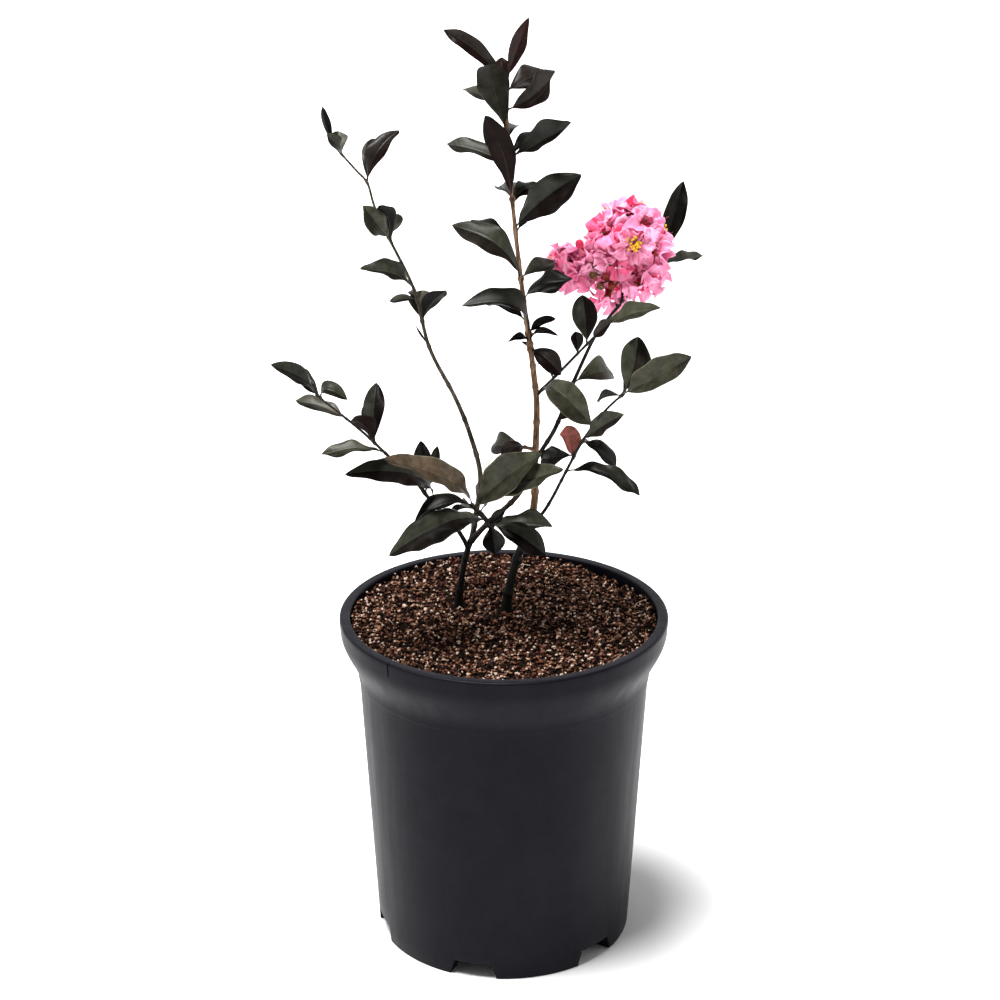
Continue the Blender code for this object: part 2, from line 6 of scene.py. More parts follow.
import bmesh
import bpy
import numpy as np
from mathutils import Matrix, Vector


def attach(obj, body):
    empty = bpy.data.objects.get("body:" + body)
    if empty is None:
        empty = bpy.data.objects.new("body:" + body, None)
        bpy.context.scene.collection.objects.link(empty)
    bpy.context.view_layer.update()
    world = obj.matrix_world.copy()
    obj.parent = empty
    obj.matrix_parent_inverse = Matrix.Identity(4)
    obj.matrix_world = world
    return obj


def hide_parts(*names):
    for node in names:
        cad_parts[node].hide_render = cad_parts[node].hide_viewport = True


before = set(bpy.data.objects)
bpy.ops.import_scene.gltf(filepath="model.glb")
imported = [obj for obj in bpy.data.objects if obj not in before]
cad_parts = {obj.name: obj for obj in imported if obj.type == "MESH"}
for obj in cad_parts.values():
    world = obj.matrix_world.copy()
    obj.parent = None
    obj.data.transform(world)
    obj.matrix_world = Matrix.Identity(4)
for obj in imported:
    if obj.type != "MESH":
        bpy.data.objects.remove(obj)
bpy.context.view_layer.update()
mm = 0.001
print("frame loaded:", len(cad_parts), "nodes")


# small tools

def linearColour(hexText):
    # sRGB to linear: c / 12.92 below 0.04045, else ((c + 0.055) / 1.055) to the power 2.4
    c = np.array([int(hexText[k:k + 2], 16) for k in (1, 3, 5)]) / 255
    linear = np.where(c <= 0.04045, c / 12.92, ((c + 0.055) / 1.055) ** 2.4)
    return (*linear.tolist(), 1.0)


def shade(hexText, factor):
    # the linear colour times a factor, or times one factor for each channel
    scaled = np.array(linearColour(hexText)[:3]) * factor
    return (*np.minimum(scaled, 1.0).tolist(), 1.0)


def addNode(tree, kind, links=None, **settings):
    # a node with its settings; links gives, for an input, a value or the socket that feeds it
    node = tree.nodes.new("ShaderNode" + kind)
    for name, value in settings.items():
        setattr(node, name, value)
    for name, value in (links or {}).items():
        if isinstance(value, bpy.types.NodeSocket):
            tree.links.new(value, node.inputs[name])
        else:
            node.inputs[name].default_value = value
    return node


def noise(tree, place, across, detail, roughness=0.5):
    # a pattern from 0 to 1 whose largest lumps are about this many millimetres across
    return addNode(tree, "TexNoise", {"Vector": place, "Scale": 1 / (across * mm), "Detail": detail,
                                      "Roughness": roughness}).outputs["Fac"]


def remap(tree, value, start, end, low=0.0, high=1.0):
    # a value from start to end becomes one from low to high, and is held there outside them
    return addNode(tree, "MapRange", {"Value": value, "From Min": start, "From Max": end,
                                      "To Min": low, "To Max": high}).outputs["Result"]


def ramp(tree, value, stops):
    # the colour at this value, between stops of (position, colour)
    node = addNode(tree, "ValToRGB", {"Fac": value})
    for extra in stops[2:]:
        node.color_ramp.elements.new(0.5)
    for element, (position, colour) in zip(node.color_ramp.elements, stops):
        element.position = position
        element.color = colour
    return node.outputs["Color"]


def blend(tree, share, first, second, way="MIX"):
    # this share of the second colour over the first
    sockets = {0: share, 6: first, 7: second}
    return addNode(tree, "Mix", sockets, data_type="RGBA", blend_type=way).outputs[2]


def bumped(tree, height, strength, depth):
    # the normal over a relief of this depth in millimetres
    return addNode(tree, "Bump", {"Height": height, "Strength": strength,
                                  "Distance": depth * mm}).outputs["Normal"]


def newMaterial(name, shader):
    # the shader's own sockets hold what is the same all over the surface
    material = bpy.data.materials.new(name)
    material.use_nodes = True
    principled = material.node_tree.nodes["Principled BSDF"]
    for socket, value in shader.items():
        principled.inputs[socket].default_value = value
    return material, material.node_tree


def feedShader(material, sockets):
    # the sockets for what varies over the surface, with its bump as the normal
    tree = material.node_tree
    for name, socket in sockets.items():
        tree.links.new(socket, tree.nodes["Principled BSDF"].inputs[name])
    return material


def makePiece(name, shapes, materials, cadNodes, flat=False):
    # joins shapes, each (points, [(faces, material index or one index per face), ...]); flat keeps
    # the edges between faces hard
    points = np.concatenate([shape[0] for shape in shapes]) * mm
    loops, sizes, slots = [], [], []
    offset = 0
    for shapePoints, groups in shapes:
        for faces, index in groups:
            loops.append((faces + offset).ravel())
            sizes.append(np.full(len(faces), faces.shape[1]))
            slots.append(np.broadcast_to(index, len(faces)))
        offset += len(shapePoints)
    loops, sizes, slots = np.concatenate(loops), np.concatenate(sizes), np.concatenate(slots)
    mesh = bpy.data.meshes.new(name)
    mesh.vertices.add(len(points))
    mesh.vertices.foreach_set("co", points.astype(np.float32).ravel())
    mesh.loops.add(len(loops))
    mesh.loops.foreach_set("vertex_index", loops.astype(np.int32))
    mesh.polygons.add(len(sizes))
    mesh.polygons.foreach_set("loop_start", (np.cumsum(sizes) - sizes).astype(np.int32))
    mesh.polygons.foreach_set("material_index", slots.astype(np.int32))
    mesh.update(calc_edges=True)
    mesh.validate()
    if not flat:
        mesh.shade_smooth()
    for material in materials:
        mesh.materials.append(material)
    piece = bpy.data.objects.new(name, mesh)
    bpy.context.scene.collection.objects.link(piece)
    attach(piece, "root")
    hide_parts(*cadNodes)
    print("made", name, int((sizes - 2).sum()), "triangles")
    return piece


def gridFaces(rows, columns, closed=False):
    # quads between the points of a grid; a closed grid joins its last column to its first
    i = np.arange(rows - 1)[:, None]
    j = np.arange(columns if closed else columns - 1)[None, :]
    k = (j + 1) % columns
    quads = np.stack([i * columns + j, (i + 1) * columns + j, (i + 1) * columns + k, i * columns + k], -1)
    return quads.reshape(-1, 4)


def unit(v):
    # the same directions with length 1
    return v / np.maximum(np.linalg.norm(v, axis=-1, keepdims=True), 1e-9)


def smoothRoute(points, steps=12):
    # Catmull-Rom curve through the points
    p = np.array(points, float)
    p = np.vstack([2 * p[0] - p[1], p, 2 * p[-1] - p[-2]])
    t = np.linspace(0, 1, steps, endpoint=False)[:, None]
    spans = [0.5 * (2 * b + (c - a) * t + (2 * a - 5 * b + 4 * c - d) * t ** 2
                    + (3 * b - a - 3 * c + d) * t ** 3)
             for a, b, c, d in zip(p, p[1:], p[2:], p[3:])]
    return np.vstack(spans + [p[-2:-1]])


def alongRoute(route, shares):
    # the points at these shares of the route's length, and that length
    curve = smoothRoute(route)
    gone = np.concatenate([[0], np.cumsum(np.linalg.norm(np.diff(curve, axis=0), axis=1))])
    places = [np.interp(np.asarray(shares) * gone[-1], gone, curve[:, axis]) for axis in range(3)]
    return np.stack(places, -1), gone[-1]


def cappedRings(ring, centres, index):
    # rings of points joined one to the next, closed by a point at each end
    rows, sides = ring.shape[:2]
    points = np.vstack([ring.reshape(-1, 3), centres[:1], centres[-1:]])
    quads = gridFaces(rows, sides, closed=True)[:, ::-1]
    j = np.arange(sides)
    k = (j + 1) % sides
    last = (rows - 1) * sides
    start = np.stack([np.full(sides, len(points) - 2), k, j], -1)
    end = np.stack([np.full(sides, len(points) - 1), last + j, last + k], -1)
    return points, [(quads, index), (start, index), (end, index)]


def tube(centres, radii, sides=8, index=0, relief=1.0):
    # a ring of points round each centre, square to the path; relief is a factor for each point
    tangent = unit(np.gradient(centres, axis=0))
    aside = np.eye(3)[np.abs(tangent).mean(0).argmin()]
    side = unit(np.cross(tangent, aside))
    other = np.cross(tangent, side)
    angle = np.linspace(0, math.tau, sides, endpoint=False)
    reach = (radii[:, None] * relief)[..., None]
    ring = centres[:, None] + reach * (np.cos(angle)[None, :, None] * side[:, None]
                                       + np.sin(angle)[None, :, None] * other[:, None])
    return cappedRings(ring, centres, index)


def shell(surface, thickness, upper, under):
    # a sheet given its thickness both ways along its normal, with its four edges closed
    rows, columns = surface.shape[:2]
    normal = unit(np.cross(np.gradient(surface, axis=0), np.gradient(surface, axis=1)))
    half = np.broadcast_to(thickness, (rows, columns))[..., None] / 2
    points = np.concatenate([surface + normal * half, surface - normal * half]).reshape(-1, 3)
    top = gridFaces(rows, columns)
    count = rows * columns
    bottom = top[:, ::-1] + count
    i = np.arange(rows - 1)
    j = np.arange(columns - 1)
    left = np.stack([i * columns, i * columns + count, (i + 1) * columns + count, (i + 1) * columns], -1)
    right = left[:, ::-1] + columns - 1
    first = np.stack([j, j + 1, j + 1 + count, j + count], -1)
    last = first[:, ::-1] + (rows - 1) * columns
    edges = np.concatenate([left, right, first, last])
    return points, [(top, upper), (bottom, under), (edges, under)]


# the plant: the same routes, leaves and seeds as in the solids
# A radius is (at the foot, at the tip). A leaf is (share of the length where it sits, reach to its
# tip, width, arch as a share of its length, degrees that its upper side is tipped towards the
# front, tint).

branches = {
    "main_stem": {
        "route": [(1, 4, 241), (3, 4, 264), (9, 5, 291), (18, 6, 316), (22, 6, 338), (22, 5, 361),
                  (23, 4, 393), (23, 3, 415), (21, 2, 434), (17, 0, 465), (12, -2, 502), (7, -3, 547),
                  (3, 0, 589), (1, 4, 643)],
        "radius": (3.4, 0.9), "flare": 3.0, "mass": "leader_foliage",
        "leaves": [
            (0.50, (14, 10, -14), 6, 0.25, 10, "pale"), (0.53, (21, -18, -13), 16, 0.15, 45, "maroon"),
            (0.53, (-7, 5, 4), 4, 0.10, 20, "dark"), (0.54, (-15, -6, 4), 7, 0.30, 25, "dark"),
            (0.54, (20, -12, 9), 9, 0.30, 15, "dark"), (0.56, (19, 8, 9), 9, 0.10, 30, "dark"),
            (0.56, (-46, -16, 25), 24, 0.33, 28, "greenBlack"), (0.58, (-31, 36, 8), 18, 0.10, 20, "dark"),
            (0.62, (34, -12, 18), 20, 0.20, 25, "dark"), (0.66, (23, 20, 6), 17, 0.15, 30, "pale"),
            (0.66, (-48, 14, 34), 24, 0.28, 35, "greyGreen"), (0.69, (-33, 34, 22), 18, 0.10, 20, "dark"),
            (0.74, (30, 36, 19), 19, 0.10, 20, "dark"), (0.75, (44, -10, 40), 25, 0.10, 55, "greenBlack"),
            (0.79, (16, 26, 9), 13, 0.10, 25, "greyGreen"), (0.80, (-8, 28, 1), 13, 0.10, 30, "greyGreen"),
            (0.80, (6, 26, 4), 12, 0.10, 30, "greyGreen"), (0.80, (-18, -26, 63), 19, 0.05, -75, "maroon"),
            (0.82, (-7, 30, 23), 16, 0.10, 60, "dark"), (0.86, (-43, 18, 10), 19, 0.05, 28, "greyGreen"),
            (0.87, (43, -16, 27), 21, -0.05, 40, "greenBlack"), (0.87, (27, 30, 9), 15, 0.10, 20, "dark"),
            (0.88, (18, 24, -6), 11, 0.10, 10, "greyGreen"), (0.90, (6, 30, 3), 12, 0.10, 20, "greyGreen"),
            (0.91, (-12, -24, 54), 24, 0.10, -80, "greyGreen"), (0.93, (-10, 28, 25), 15, 0.10, 60, "dark"),
            (0.95, (33, -18, 30), 23, -0.10, 48, "maroon"), (0.95, (-30, 26, 9), 13, 0.10, 30, "pale"),
            (0.98, (30, 18, 9), 22, 0.12, 45, "maroon"), (0.98, (-3, 12, 21), 12, 0.10, 70, "wine"),
            (0.99, (-42, 16, 35), 14, 0.06, 45, "maroon"), (1.00, (15, -8, 43), 11, 0.05, 60, "wine"),
        ],
    },
    "left_stem": {
        "route": [(-34, 13, 241), (-32, 11, 266), (-28, 8, 292), (-23, 5, 310), (-20, 6, 328),
                  (-17, 8, 357), (-25, 12, 388), (-35, 18, 412), (-53, 24, 447), (-63, 31, 486),
                  (-80, 39, 521), (-91, 45, 544), (-96, 49, 560), (-104, 51, 569), (-119, 55, 585)],
        "radius": (2.5, 0.7), "flare": 2.5, "mass": "left_tall_foliage",
        "leaves": [
            (0.58, (-10, 6, 14), 2.5, 0.0, 0, "stub"), (0.63, (-1, 20, 17), 18, 0.10, 60, "olive"),
            (0.63, (17, -16, 27), 15, 0.10, -40, "dark"), (0.64, (5, 30, 6), 15, 0.10, 30, "dark"),
            (0.67, (-20, 10, -4), 10, 0.15, 40, "greyGreen"), (0.67, (-6, 14, 3), 7, 0.10, 30, "greyGreen"),
            (0.69, (-38, -18, 20), 18, 0.14, 38, "greyGreen"), (0.79, (-6, -20, 33), 13, 0.10, -70, "dark"),
            (0.80, (-16, -18, 27), 17, 0.10, 60, "olive"), (0.80, (6, 18, 12), 13, 0.10, 40, "pale"),
            (0.80, (-9, 30, 8), 15, 0.10, 30, "dark"), (0.91, (22, 16, 34), 17, 0.14, 30, "maroon"),
            (0.91, (6, 30, 25), 15, 0.10, 30, "dark"), (0.98, (-3, 14, 13), 13, 0.10, 60, "pale"),
            (0.98, (-10, -16, 18), 11, 0.10, 45, "greyGreen"), (1.00, (-7, -12, 30), 7, 0.05, -60, "dark"),
        ],
    },
    "low_left_bough": {
        "route": [(-26, 6, 301), (-34, -2, 319), (-42, -9, 332), (-50, -16, 343), (-66, -30, 371),
                  (-80, -44, 390), (-95, -60, 412), (-110, -76, 432), (-125, -94, 452)],
        "radius": (1.7, 0.7), "mass": "low_left_foliage",
        "leaves": [
            (0.26, (-57, -40, 40), 24, 0.25, 32, "greenBlack"), (0.32, (9, 10, 32), 9, 0.10, 30, "dark"),
            (0.33, (-2, 14, 33), 14, 0.10, 40, "dark"), (0.43, (14, 34, -4), 14, 0.10, 30, "dark"),
            (0.58, (-44, -4, 0), 16, 0.12, 12, "olive"), (0.65, (-12, -20, 25), 18, 0.10, -45, "maroon"),
            (0.65, (1, 20, 37), 15, 0.10, 75, "greenBlack"), (0.68, (2, 36, 12), 14, 0.10, 30, "dark"),
            (0.82, (-35, 10, 9), 17, 0.05, 20, "pale"), (0.97, (18, -12, 4), 14, 0.45, 40, "greyGreen"),
            (0.97, (-20, 26, 14), 12, 0.10, 40, "dark"), (1.00, (-29, -18, 27), 15, 0.10, 38, "greenBlack"),
        ],
    },
    "flower_bough": {
        "route": [(-24, 5, 306), (-14, -6, 322), (-3, -12, 335), (11, -16, 352), (22, -18, 377),
                  (36, -14, 400), (47, -6, 427), (63, 10, 458), (75, 20, 472), (83, 26, 481),
                  (84, 38, 496)],
        "radius": (2.1, 1.0), "mass": "flower_spray",
        "leaves": [(0.51, (16, 8, 17), 16, 0.10, 50, "dark"), (0.63, (29, 20, 1), 20, 0.20, 45, "olive")],
        "twig": [(80, 24, 478), (97, 50, 485), (113, 80, 494)],
        "twigLeaves": [
            (1.00, (17, 22, 54), 18, 0.05, 60, "dark"), (0.87, (38, 38, -2), 14, 0.05, 20, "greyGreen"),
            (0.49, (-1, 46, 32), 18, 0.10, 40, "dark"), (0.49, (-27, 50, 23), 18, 0.10, 40, "dark"),
        ],
    },
    "right_bough": {
        "route": [(20, 6, 321), (27, 0, 329), (34, -8, 344), (41, -18, 363), (52, -32, 392), (60, -38, 408),
                  (71, -46, 426), (82, -52, 439)],
        "radius": (1.3, 0.8), "mass": "right_foliage",
        "leaves": [
            (0.42, (51, -16, -14), 20, 0.15, 14, "greenBlack"), (0.52, (-5, -8, 26), 16, 0.05, -30, "young"),
            (0.53, (4, 4, 13), 9, 0.05, -30, "young"), (0.54, (-23, 18, -10), 16, 0.12, 55, "dark"),
            (0.63, (24, -8, -14), 16, 0.25, 20, "dark"), (0.63, (14, 30, -20), 14, 0.10, 20, "dark"),
            (0.65, (26, -18, 25), 16, 0.05, 45, "greyGreen"), (0.98, (-16, 12, -8), 11, 0.10, 20, "dark"),
            (0.98, (22, 36, 8), 16, 0.10, 20, "dark"), (0.99, (46, -22, 34), 24, 0.08, 50, "olive"),
            (1.00, (10, 20, 34), 22, 0.08, 65, "greyGreen"),
        ],
    },
    "side_twig": {
        "route": [(23, 3, 419), (27, 0, 424), (41, -14, 444), (59, -24, 467), (70, -28, 479)],
        "radius": (1.2, 0.8), "mass": "side_foliage",
        "leaves": [
            (0.09, (34, -36, -15), 24, 0.30, 50, "olive"), (0.63, (-1, 10, 13), 10, 0.10, 60, "maroon"),
            (0.76, (-3, 14, 31), 19, 0.10, 75, "greenBlack"), (0.84, (13, -10, 16), 11, 0.10, 45, "maroon"),
            (0.94, (40, -16, 21), 15, 0.10, 35, "olive"),
        ],
    },
    "hub_twig": {
        "route": [(-9, -9, 328), (-10, -17, 328), (-15, -21, 336), (-23, -27, 347)],
        "radius": (2.0, 1.4), "mass": "hub_foliage",
        "leaves": [
            (0.20, (44, -4, 0), 20, 0.02, 25, "greyGreen"),
            (0.20, (39, -10, -20), 20, 0.15, 45, "greenBlack"),
            (0.20, (3, -9, -19), 17, 0.10, 70, "dark"), (0.33, (-68, -44, -5), 25, 0.23, 40, "greyGreen"),
            (0.61, (-44, -14, -22), 14, 0.25, 20, "dark"), (0.68, (59, -30, 44), 24, 0.12, 30, "olive"),
            (0.87, (46, -16, 47), 28, 0.10, 55, "olive"), (0.97, (-40, -20, -4), 17, 0.16, 22, "dark"),
            (1.00, (-60, -40, 50), 22, 0.18, 40, "bronze"), (0.30, (12, -10, 15), 9, 0.10, 60, "dark"),
        ],
    },
    "low_twig": {
        "route": [(22, 4, 377), (14, 2, 380)], "radius": (1.2, 1.0), "mass": "low_stem_foliage",
        "leaves": [(0.98, (-24, 18, -6), 17, 0.08, 45, "greyGreen"),
                   (0.98, (-17, -16, -4), 15, 0.20, 50, "maroon")],
    },
    "back_twig": {
        "route": [(22, 6, 347), (22, 14, 347)], "radius": (1.2, 1.0), "mass": "back_foliage",
        "leaves": [(1.0, (-25, 40, -3), 18, 0.10, 20, "greenBlack"), (1.0, (8, 40, -3), 16, 0.10, 20, "dark"),
                   (1.0, (-10, 44, -14), 16, 0.10, 20, "greyGreen")],
    },
    "back_left_twig": {
        "route": [(-20, 7, 328), (-20, 16, 326)], "radius": (1.2, 1.0), "mass": "back_left_foliage",
        "leaves": [(1.0, (-20, 40, -24), 18, 0.10, 20, "dark"),
                   (1.0, (13, 40, 8), 16, 0.10, 20, "greyGreen")],
    },
}
mixLevel = 246.5  # height of the potting mix


# leaves

leafLook = {
    "petiole": 0.07, "swell": 1.25, "thickness": 0.34, "veinSpacing": 4.2, "veinDepth": 0.16,
    "fold": (10, 30), "twist": (-25, 25), "bend": 0.05,  # degrees, degrees, share of the length
    "wave": (0.03, 0.09), "longWave": (15, 24), "cockle": 1.1, "curl": 0.05, "roll": 0.22,
    "ribSink": 0.35, "ribWidth": 0.8, "ribRadius": 0.34, "ribFoot": 0.5,
    "mottle": 7.0, "cells": 0.9,  # mm across; real cells are finer than the render can show
    "tints": {  # sRGB of the half towards the front, darker as painted shade, the half towards the back, lighter as painted light, and the underside
        "dark": ("#090705", "#161511", "#100f0c"), "greenBlack": ("#0f0a08", "#23241d", "#141310"),
        "greyGreen": ("#17130f", "#33342a", "#201f19"), "pale": ("#2c2a23", "#4b493f", "#333129"),
        "olive": ("#28271e", "#3a3a2d", "#27261e"), "bronze": ("#382f24", "#4c4032", "#2c231a"),
        "maroon": ("#120a08", "#231e1a", "#140c09"), "wine": ("#1c0d0b", "#251512", "#1c0d0b"),
        "young": ("#5a2f29", "#7a4a3e", "#7b4740"), "stub": ("#2a221b", "#2a221b", "#2a221b"),
    },
    "sides": {  # roughness, strength of the grain, specular level
        # the first side is the front half in painted shade, the second the back half in painted light
        "leafFrontPaintedShade": (0.36, 0.3, 0.06), "leafBackPaintedLight": (0.36, 0.3, 0.20), "leafUnderside": (0.52, 0.6, 0.07),
    },
    "rib": {"ribDark": "#2b2922", "ribPale": "#565243", "ribRed": "#2e1d19"},
    "ribOf": {"maroon": "ribRed", "wine": "ribRed", "young": "ribRed",
              "pale": "ribPale", "olive": "ribPale", "bronze": "ribPale"},
}
tintNames = list(leafLook["tints"])
ribNames = list(leafLook["rib"])


def leafSkin(name, colour, roughness, grain, shine):
    # waxy leaf skin: a dark tint with a satin gloss, broken up by fine cells and slight mottling
    material, tree = newMaterial(name, {"IOR": 1.45, "Specular IOR Level": shine})
    place = addNode(tree, "TexCoord").outputs["Object"]
    mottle = noise(tree, place, leafLook["mottle"], 4.0, 0.6)
    cells = noise(tree, place, leafLook["cells"], 3.0)
    return feedShader(material, {
        "Base Color": ramp(tree, mottle, [(0.34, shade(colour, 0.65)), (0.68, shade(colour, 1.55))]),
        "Roughness": remap(tree, mottle, 0.3, 0.7, roughness - 0.05, roughness + 0.09),
        "Normal": bumped(tree, cells, grain, 0.3)})


# a material for each side of each tint: painted shade on the front half, painted light on the back half
leafMaterials = [leafSkin(side + "_" + name, hexes[place], *finish)
                 for place, (side, finish) in enumerate(leafLook["sides"].items())
                 for name, hexes in leafLook["tints"].items()]
ribMaterials = [leafSkin("leafRib_" + name, colour, 0.5, 0.3, 0.15)
                for name, colour in leafLook["rib"].items()]
leafMaterials += ribMaterials


def leafSurface(base, leaf, seed, t, s):
    # The midrib runs from base to tip and arches towards the upper side; the half width follows a
    # sine pinched to a petiole; both halves fold up, and the blade twists and waves by its seed.
    # The margin is cockled by a long sine of the length along it, and the tip curls over.
    look = leafLook
    reach, width, arch, face = leaf[1:5]
    draw = random.Random(seed)
    fold = math.radians(draw.uniform(*look["fold"]))
    twist = math.radians(draw.uniform(*look["twist"]))
    bend = draw.uniform(-look["bend"], look["bend"])
    wave = draw.uniform(*look["wave"]) * width
    phase = draw.uniform(0, math.tau)
    longWave = draw.uniform(*look["longWave"])
    curl, roll = draw.uniform(-1, 1), draw.uniform(-1, 1)
    phases = [draw.uniform(0, math.tau) for _ in range(3)]
    reach = np.array(reach, float)
    length = np.linalg.norm(reach)
    along = reach / length
    tilt = math.radians(face)
    up = np.array([0, -math.sin(tilt), math.cos(tilt)])
    up = unit(up - up.dot(along) * along)
    side = np.cross(up, along)
    t, s = t[:, None], s[None, :]
    u = np.clip((t - look["petiole"]) / (1 - look["petiole"]), 0, 1)
    half = 0.5 * width * np.sin(math.pi * u ** look["swell"]) ** 0.75
    broad = np.clip(half / 3.0, 0, 1)  # 0 on the petiole and at the tip
    half = np.maximum(half, np.minimum(0.5 * width, 0.7 - 0.2 * t) * (1 - 0.6 * t))
    hump = np.sin(math.pi * t ** 0.85)
    rib = base + along * (length * t)[..., None] + up * (arch * length * hump)[..., None]
    rib = rib + side * (bend * length * np.sin(math.pi * t))[..., None]
    late = np.clip((t - 0.72) / 0.28, 0, 1) ** 2
    rib = rib + up * (look["curl"] * curl * length * late)[..., None]
    turn = twist * (t - 0.3)
    across = side * np.cos(turn)[..., None] + up * np.sin(turn)[..., None]
    above = up * np.cos(turn)[..., None] - side * np.sin(turn)[..., None]
    ripple = wave * s * s * np.sin(9.0 * t + phase + 1.3 * s) * np.minimum(1.0, 4 * half / width)
    leftHalf = np.where(s < 0, 1.0, 0.0)
    cockle = np.sin(math.tau * length / longWave * t + phases[0] + phases[1] * leftHalf)
    cockle = look["cockle"] * min(1.0, width / 16) * cockle * broad
    # side veins sweep towards the tip and leave a shallow groove above, and the midrib sinks
    run = t * length / look["veinSpacing"] - 0.9 * np.abs(s) * half / look["veinSpacing"]
    groove = (1 - np.abs(np.sin(math.pi * run))) ** 3
    relief = -look["veinDepth"] * groove * broad * (1 - s ** 4)
    relief = relief - look["ribSink"] * broad * np.exp(-(s * half / look["ribWidth"]) ** 2)
    edge = np.clip((np.abs(s) - 0.55) / 0.45, 0, 1) ** 2
    lift = (np.abs(s) * half * math.sin(fold) + ripple + relief + cockle * s * s
            + look["roll"] * roll * half * edge)
    swing = 1 + 0.03 * np.sin(math.tau * length / longWave * t + phases[2])
    spread = s * half * math.cos(fold) * swing
    return rib + across * spread[..., None] + above * lift[..., None]


def leafShapes(base, leaf, seed):
    # the blade as a thin shell, and its midrib as a rod
    width, name = leaf[2], leaf[5]
    rows = int(np.clip(float(np.linalg.norm(leaf[1])) * 1.25, 14, 70))
    t = np.linspace(0, 1, rows)
    s = np.array([0.14, 0.30, 0.47, 0.64, 0.80, 0.94, 1.0] if width > 8 else [0.4, 0.9, 1.0])
    s = np.concatenate([-s[::-1], [0.0], s])
    surface = leafSurface(base, leaf, seed, t, s)
    # the half towards the front has a darker tint of its own, painted shade, and the half towards the back a
    # lighter one, painted light; the margins have the rib's
    front = np.sign(surface[rows // 2, 0, 1] - surface[rows // 2, -1, 1])
    tint, count = tintNames.index(name), len(tintNames)
    rib = ribNames.index(leafLook["ribOf"].get(name, "ribDark"))
    middle = 0.5 * (s[1:] + s[:-1])
    across = np.where(middle * front > 0, tint, tint + count)
    across = np.where(np.abs(middle) > 0.95, rib + 3 * count, across)
    thick = leafLook["thickness"] * (1 - 0.5 * s[None, :] ** 2) * np.ones((rows, 1))
    blade = shell(surface, thick, np.tile(across, rows - 1), tint + 2 * count)
    # the midrib: a fine tapering rod that stands proud below and shows as a line above
    ribT = np.linspace(0, 0.95, max(8, rows // 2))
    spine = leafSurface(base, leaf, seed, ribT, np.array([-0.01, 0.0, 0.01]))[:, 1]
    radii = leafLook["ribRadius"] + leafLook["ribFoot"] * np.exp(-ribT / 0.06)
    radii = radii * (1 - 0.75 * ribT) * min(1.0, width / 14)
    return blade, tube(spine, np.maximum(radii, 0.08), 6, rib)


for order, (name, branch) in enumerate(branches.items()):
    blades, ribs = [], []
    rows = [(leaf, branch["route"], 100 * order + index) for index, leaf in enumerate(branch["leaves"])]
    rows += [(leaf, branch["twig"], 100 * order + 50 + index)
             for index, leaf in enumerate(branch.get("twigLeaves", []))]
    for leaf, route, seed in rows:
        base = alongRoute(route, [leaf[0]])[0][0]
        blade, rib = leafShapes(base, leaf, seed)
        blades.append(blade)
        ribs.append(rib)
    makePiece(branch["mass"] + "_blades", blades, leafMaterials, [branch["mass"]])
    makePiece(branch["mass"] + "_midribs", ribs, ribMaterials, [branch["mass"]])


# stems and boughs

barkLook = {
    "step": 1.0, "sides": 28, "ridge": 0.035,
    "node": 0.22, "nodeGap": 27.0, "nodeHalf": 1.7,  # swelling at a leaf's joint, as a share and mm
    "collar": 0.55, "collarFade": 3.5, "flareFade": 7.0,
    "streak": 1.8, "patch": 9.0,  # mm across
    "shadeFrom": 335.0, "fullShadeBelow": 298.0,  # heights between which painted shade under the foliage deepens to nearly black
    "woods": {  # painted shade between ridges, body and painted lit streaks
        "tan": ("#36251a", "#6a4f3a", "#957659"), "olive": ("#1d1914", "#3b342a", "#5d5546"),
        "black": ("#100c0a", "#211a15", "#3a3029"),
    },
    "woodOf": {"main_stem": "tan", "left_stem": "olive", "low_twig": "tan"},  # the others are black
    # the nearly black of the painted shade at the stems' feet
    "footShade": "#060504",
}
# these limbs are solids of their own, and the others are part of their leaves' solid
boughs = ("main_stem", "left_stem", "low_left_bough", "flower_bough", "right_bough")


def youngBark(name, hexes):
    # smooth young bark: brown with lengthwise streaks of painted shade and painted highlight and darker and
    # lighter patches, and nearly black low down under the foliage, painted shade
    material, tree = newMaterial("youngBark_" + name, {"IOR": 1.45, "Specular IOR Level": 0.14})
    place = addNode(tree, "TexCoord").outputs["Object"]
    stretched = addNode(tree, "Mapping", {"Vector": place, "Scale": (1.0, 1.0, 0.16)})
    streak = noise(tree, stretched.outputs["Vector"], barkLook["streak"], 5.0, 0.65)
    patch = noise(tree, place, barkLook["patch"], 3.0)
    # lengthwise streaks of painted shade and painted highlight
    streaky = ramp(tree, streak, list(zip((0.36, 0.50, 0.66), map(linearColour, hexes))))
    patchy = blend(tree, 0.45, streaky, patch, "OVERLAY")
    height = addNode(tree, "SeparateXYZ", {"Vector": place}).outputs["Z"]
    # painted shade below the foliage, deepening downwards to nearly black
    footShadeShare = remap(tree, height, barkLook["shadeFrom"] * mm, barkLook["fullShadeBelow"] * mm)
    return feedShader(material, {
        "Base Color": blend(tree, footShadeShare, patchy, linearColour(barkLook["footShade"])),
        "Roughness": remap(tree, streak, 0.0, 1.0, 0.42, 0.75),
        "Normal": bumped(tree, streak, 0.5, 0.5)})


barks = {name: youngBark(name, hexes) for name, hexes in barkLook["woods"].items()}


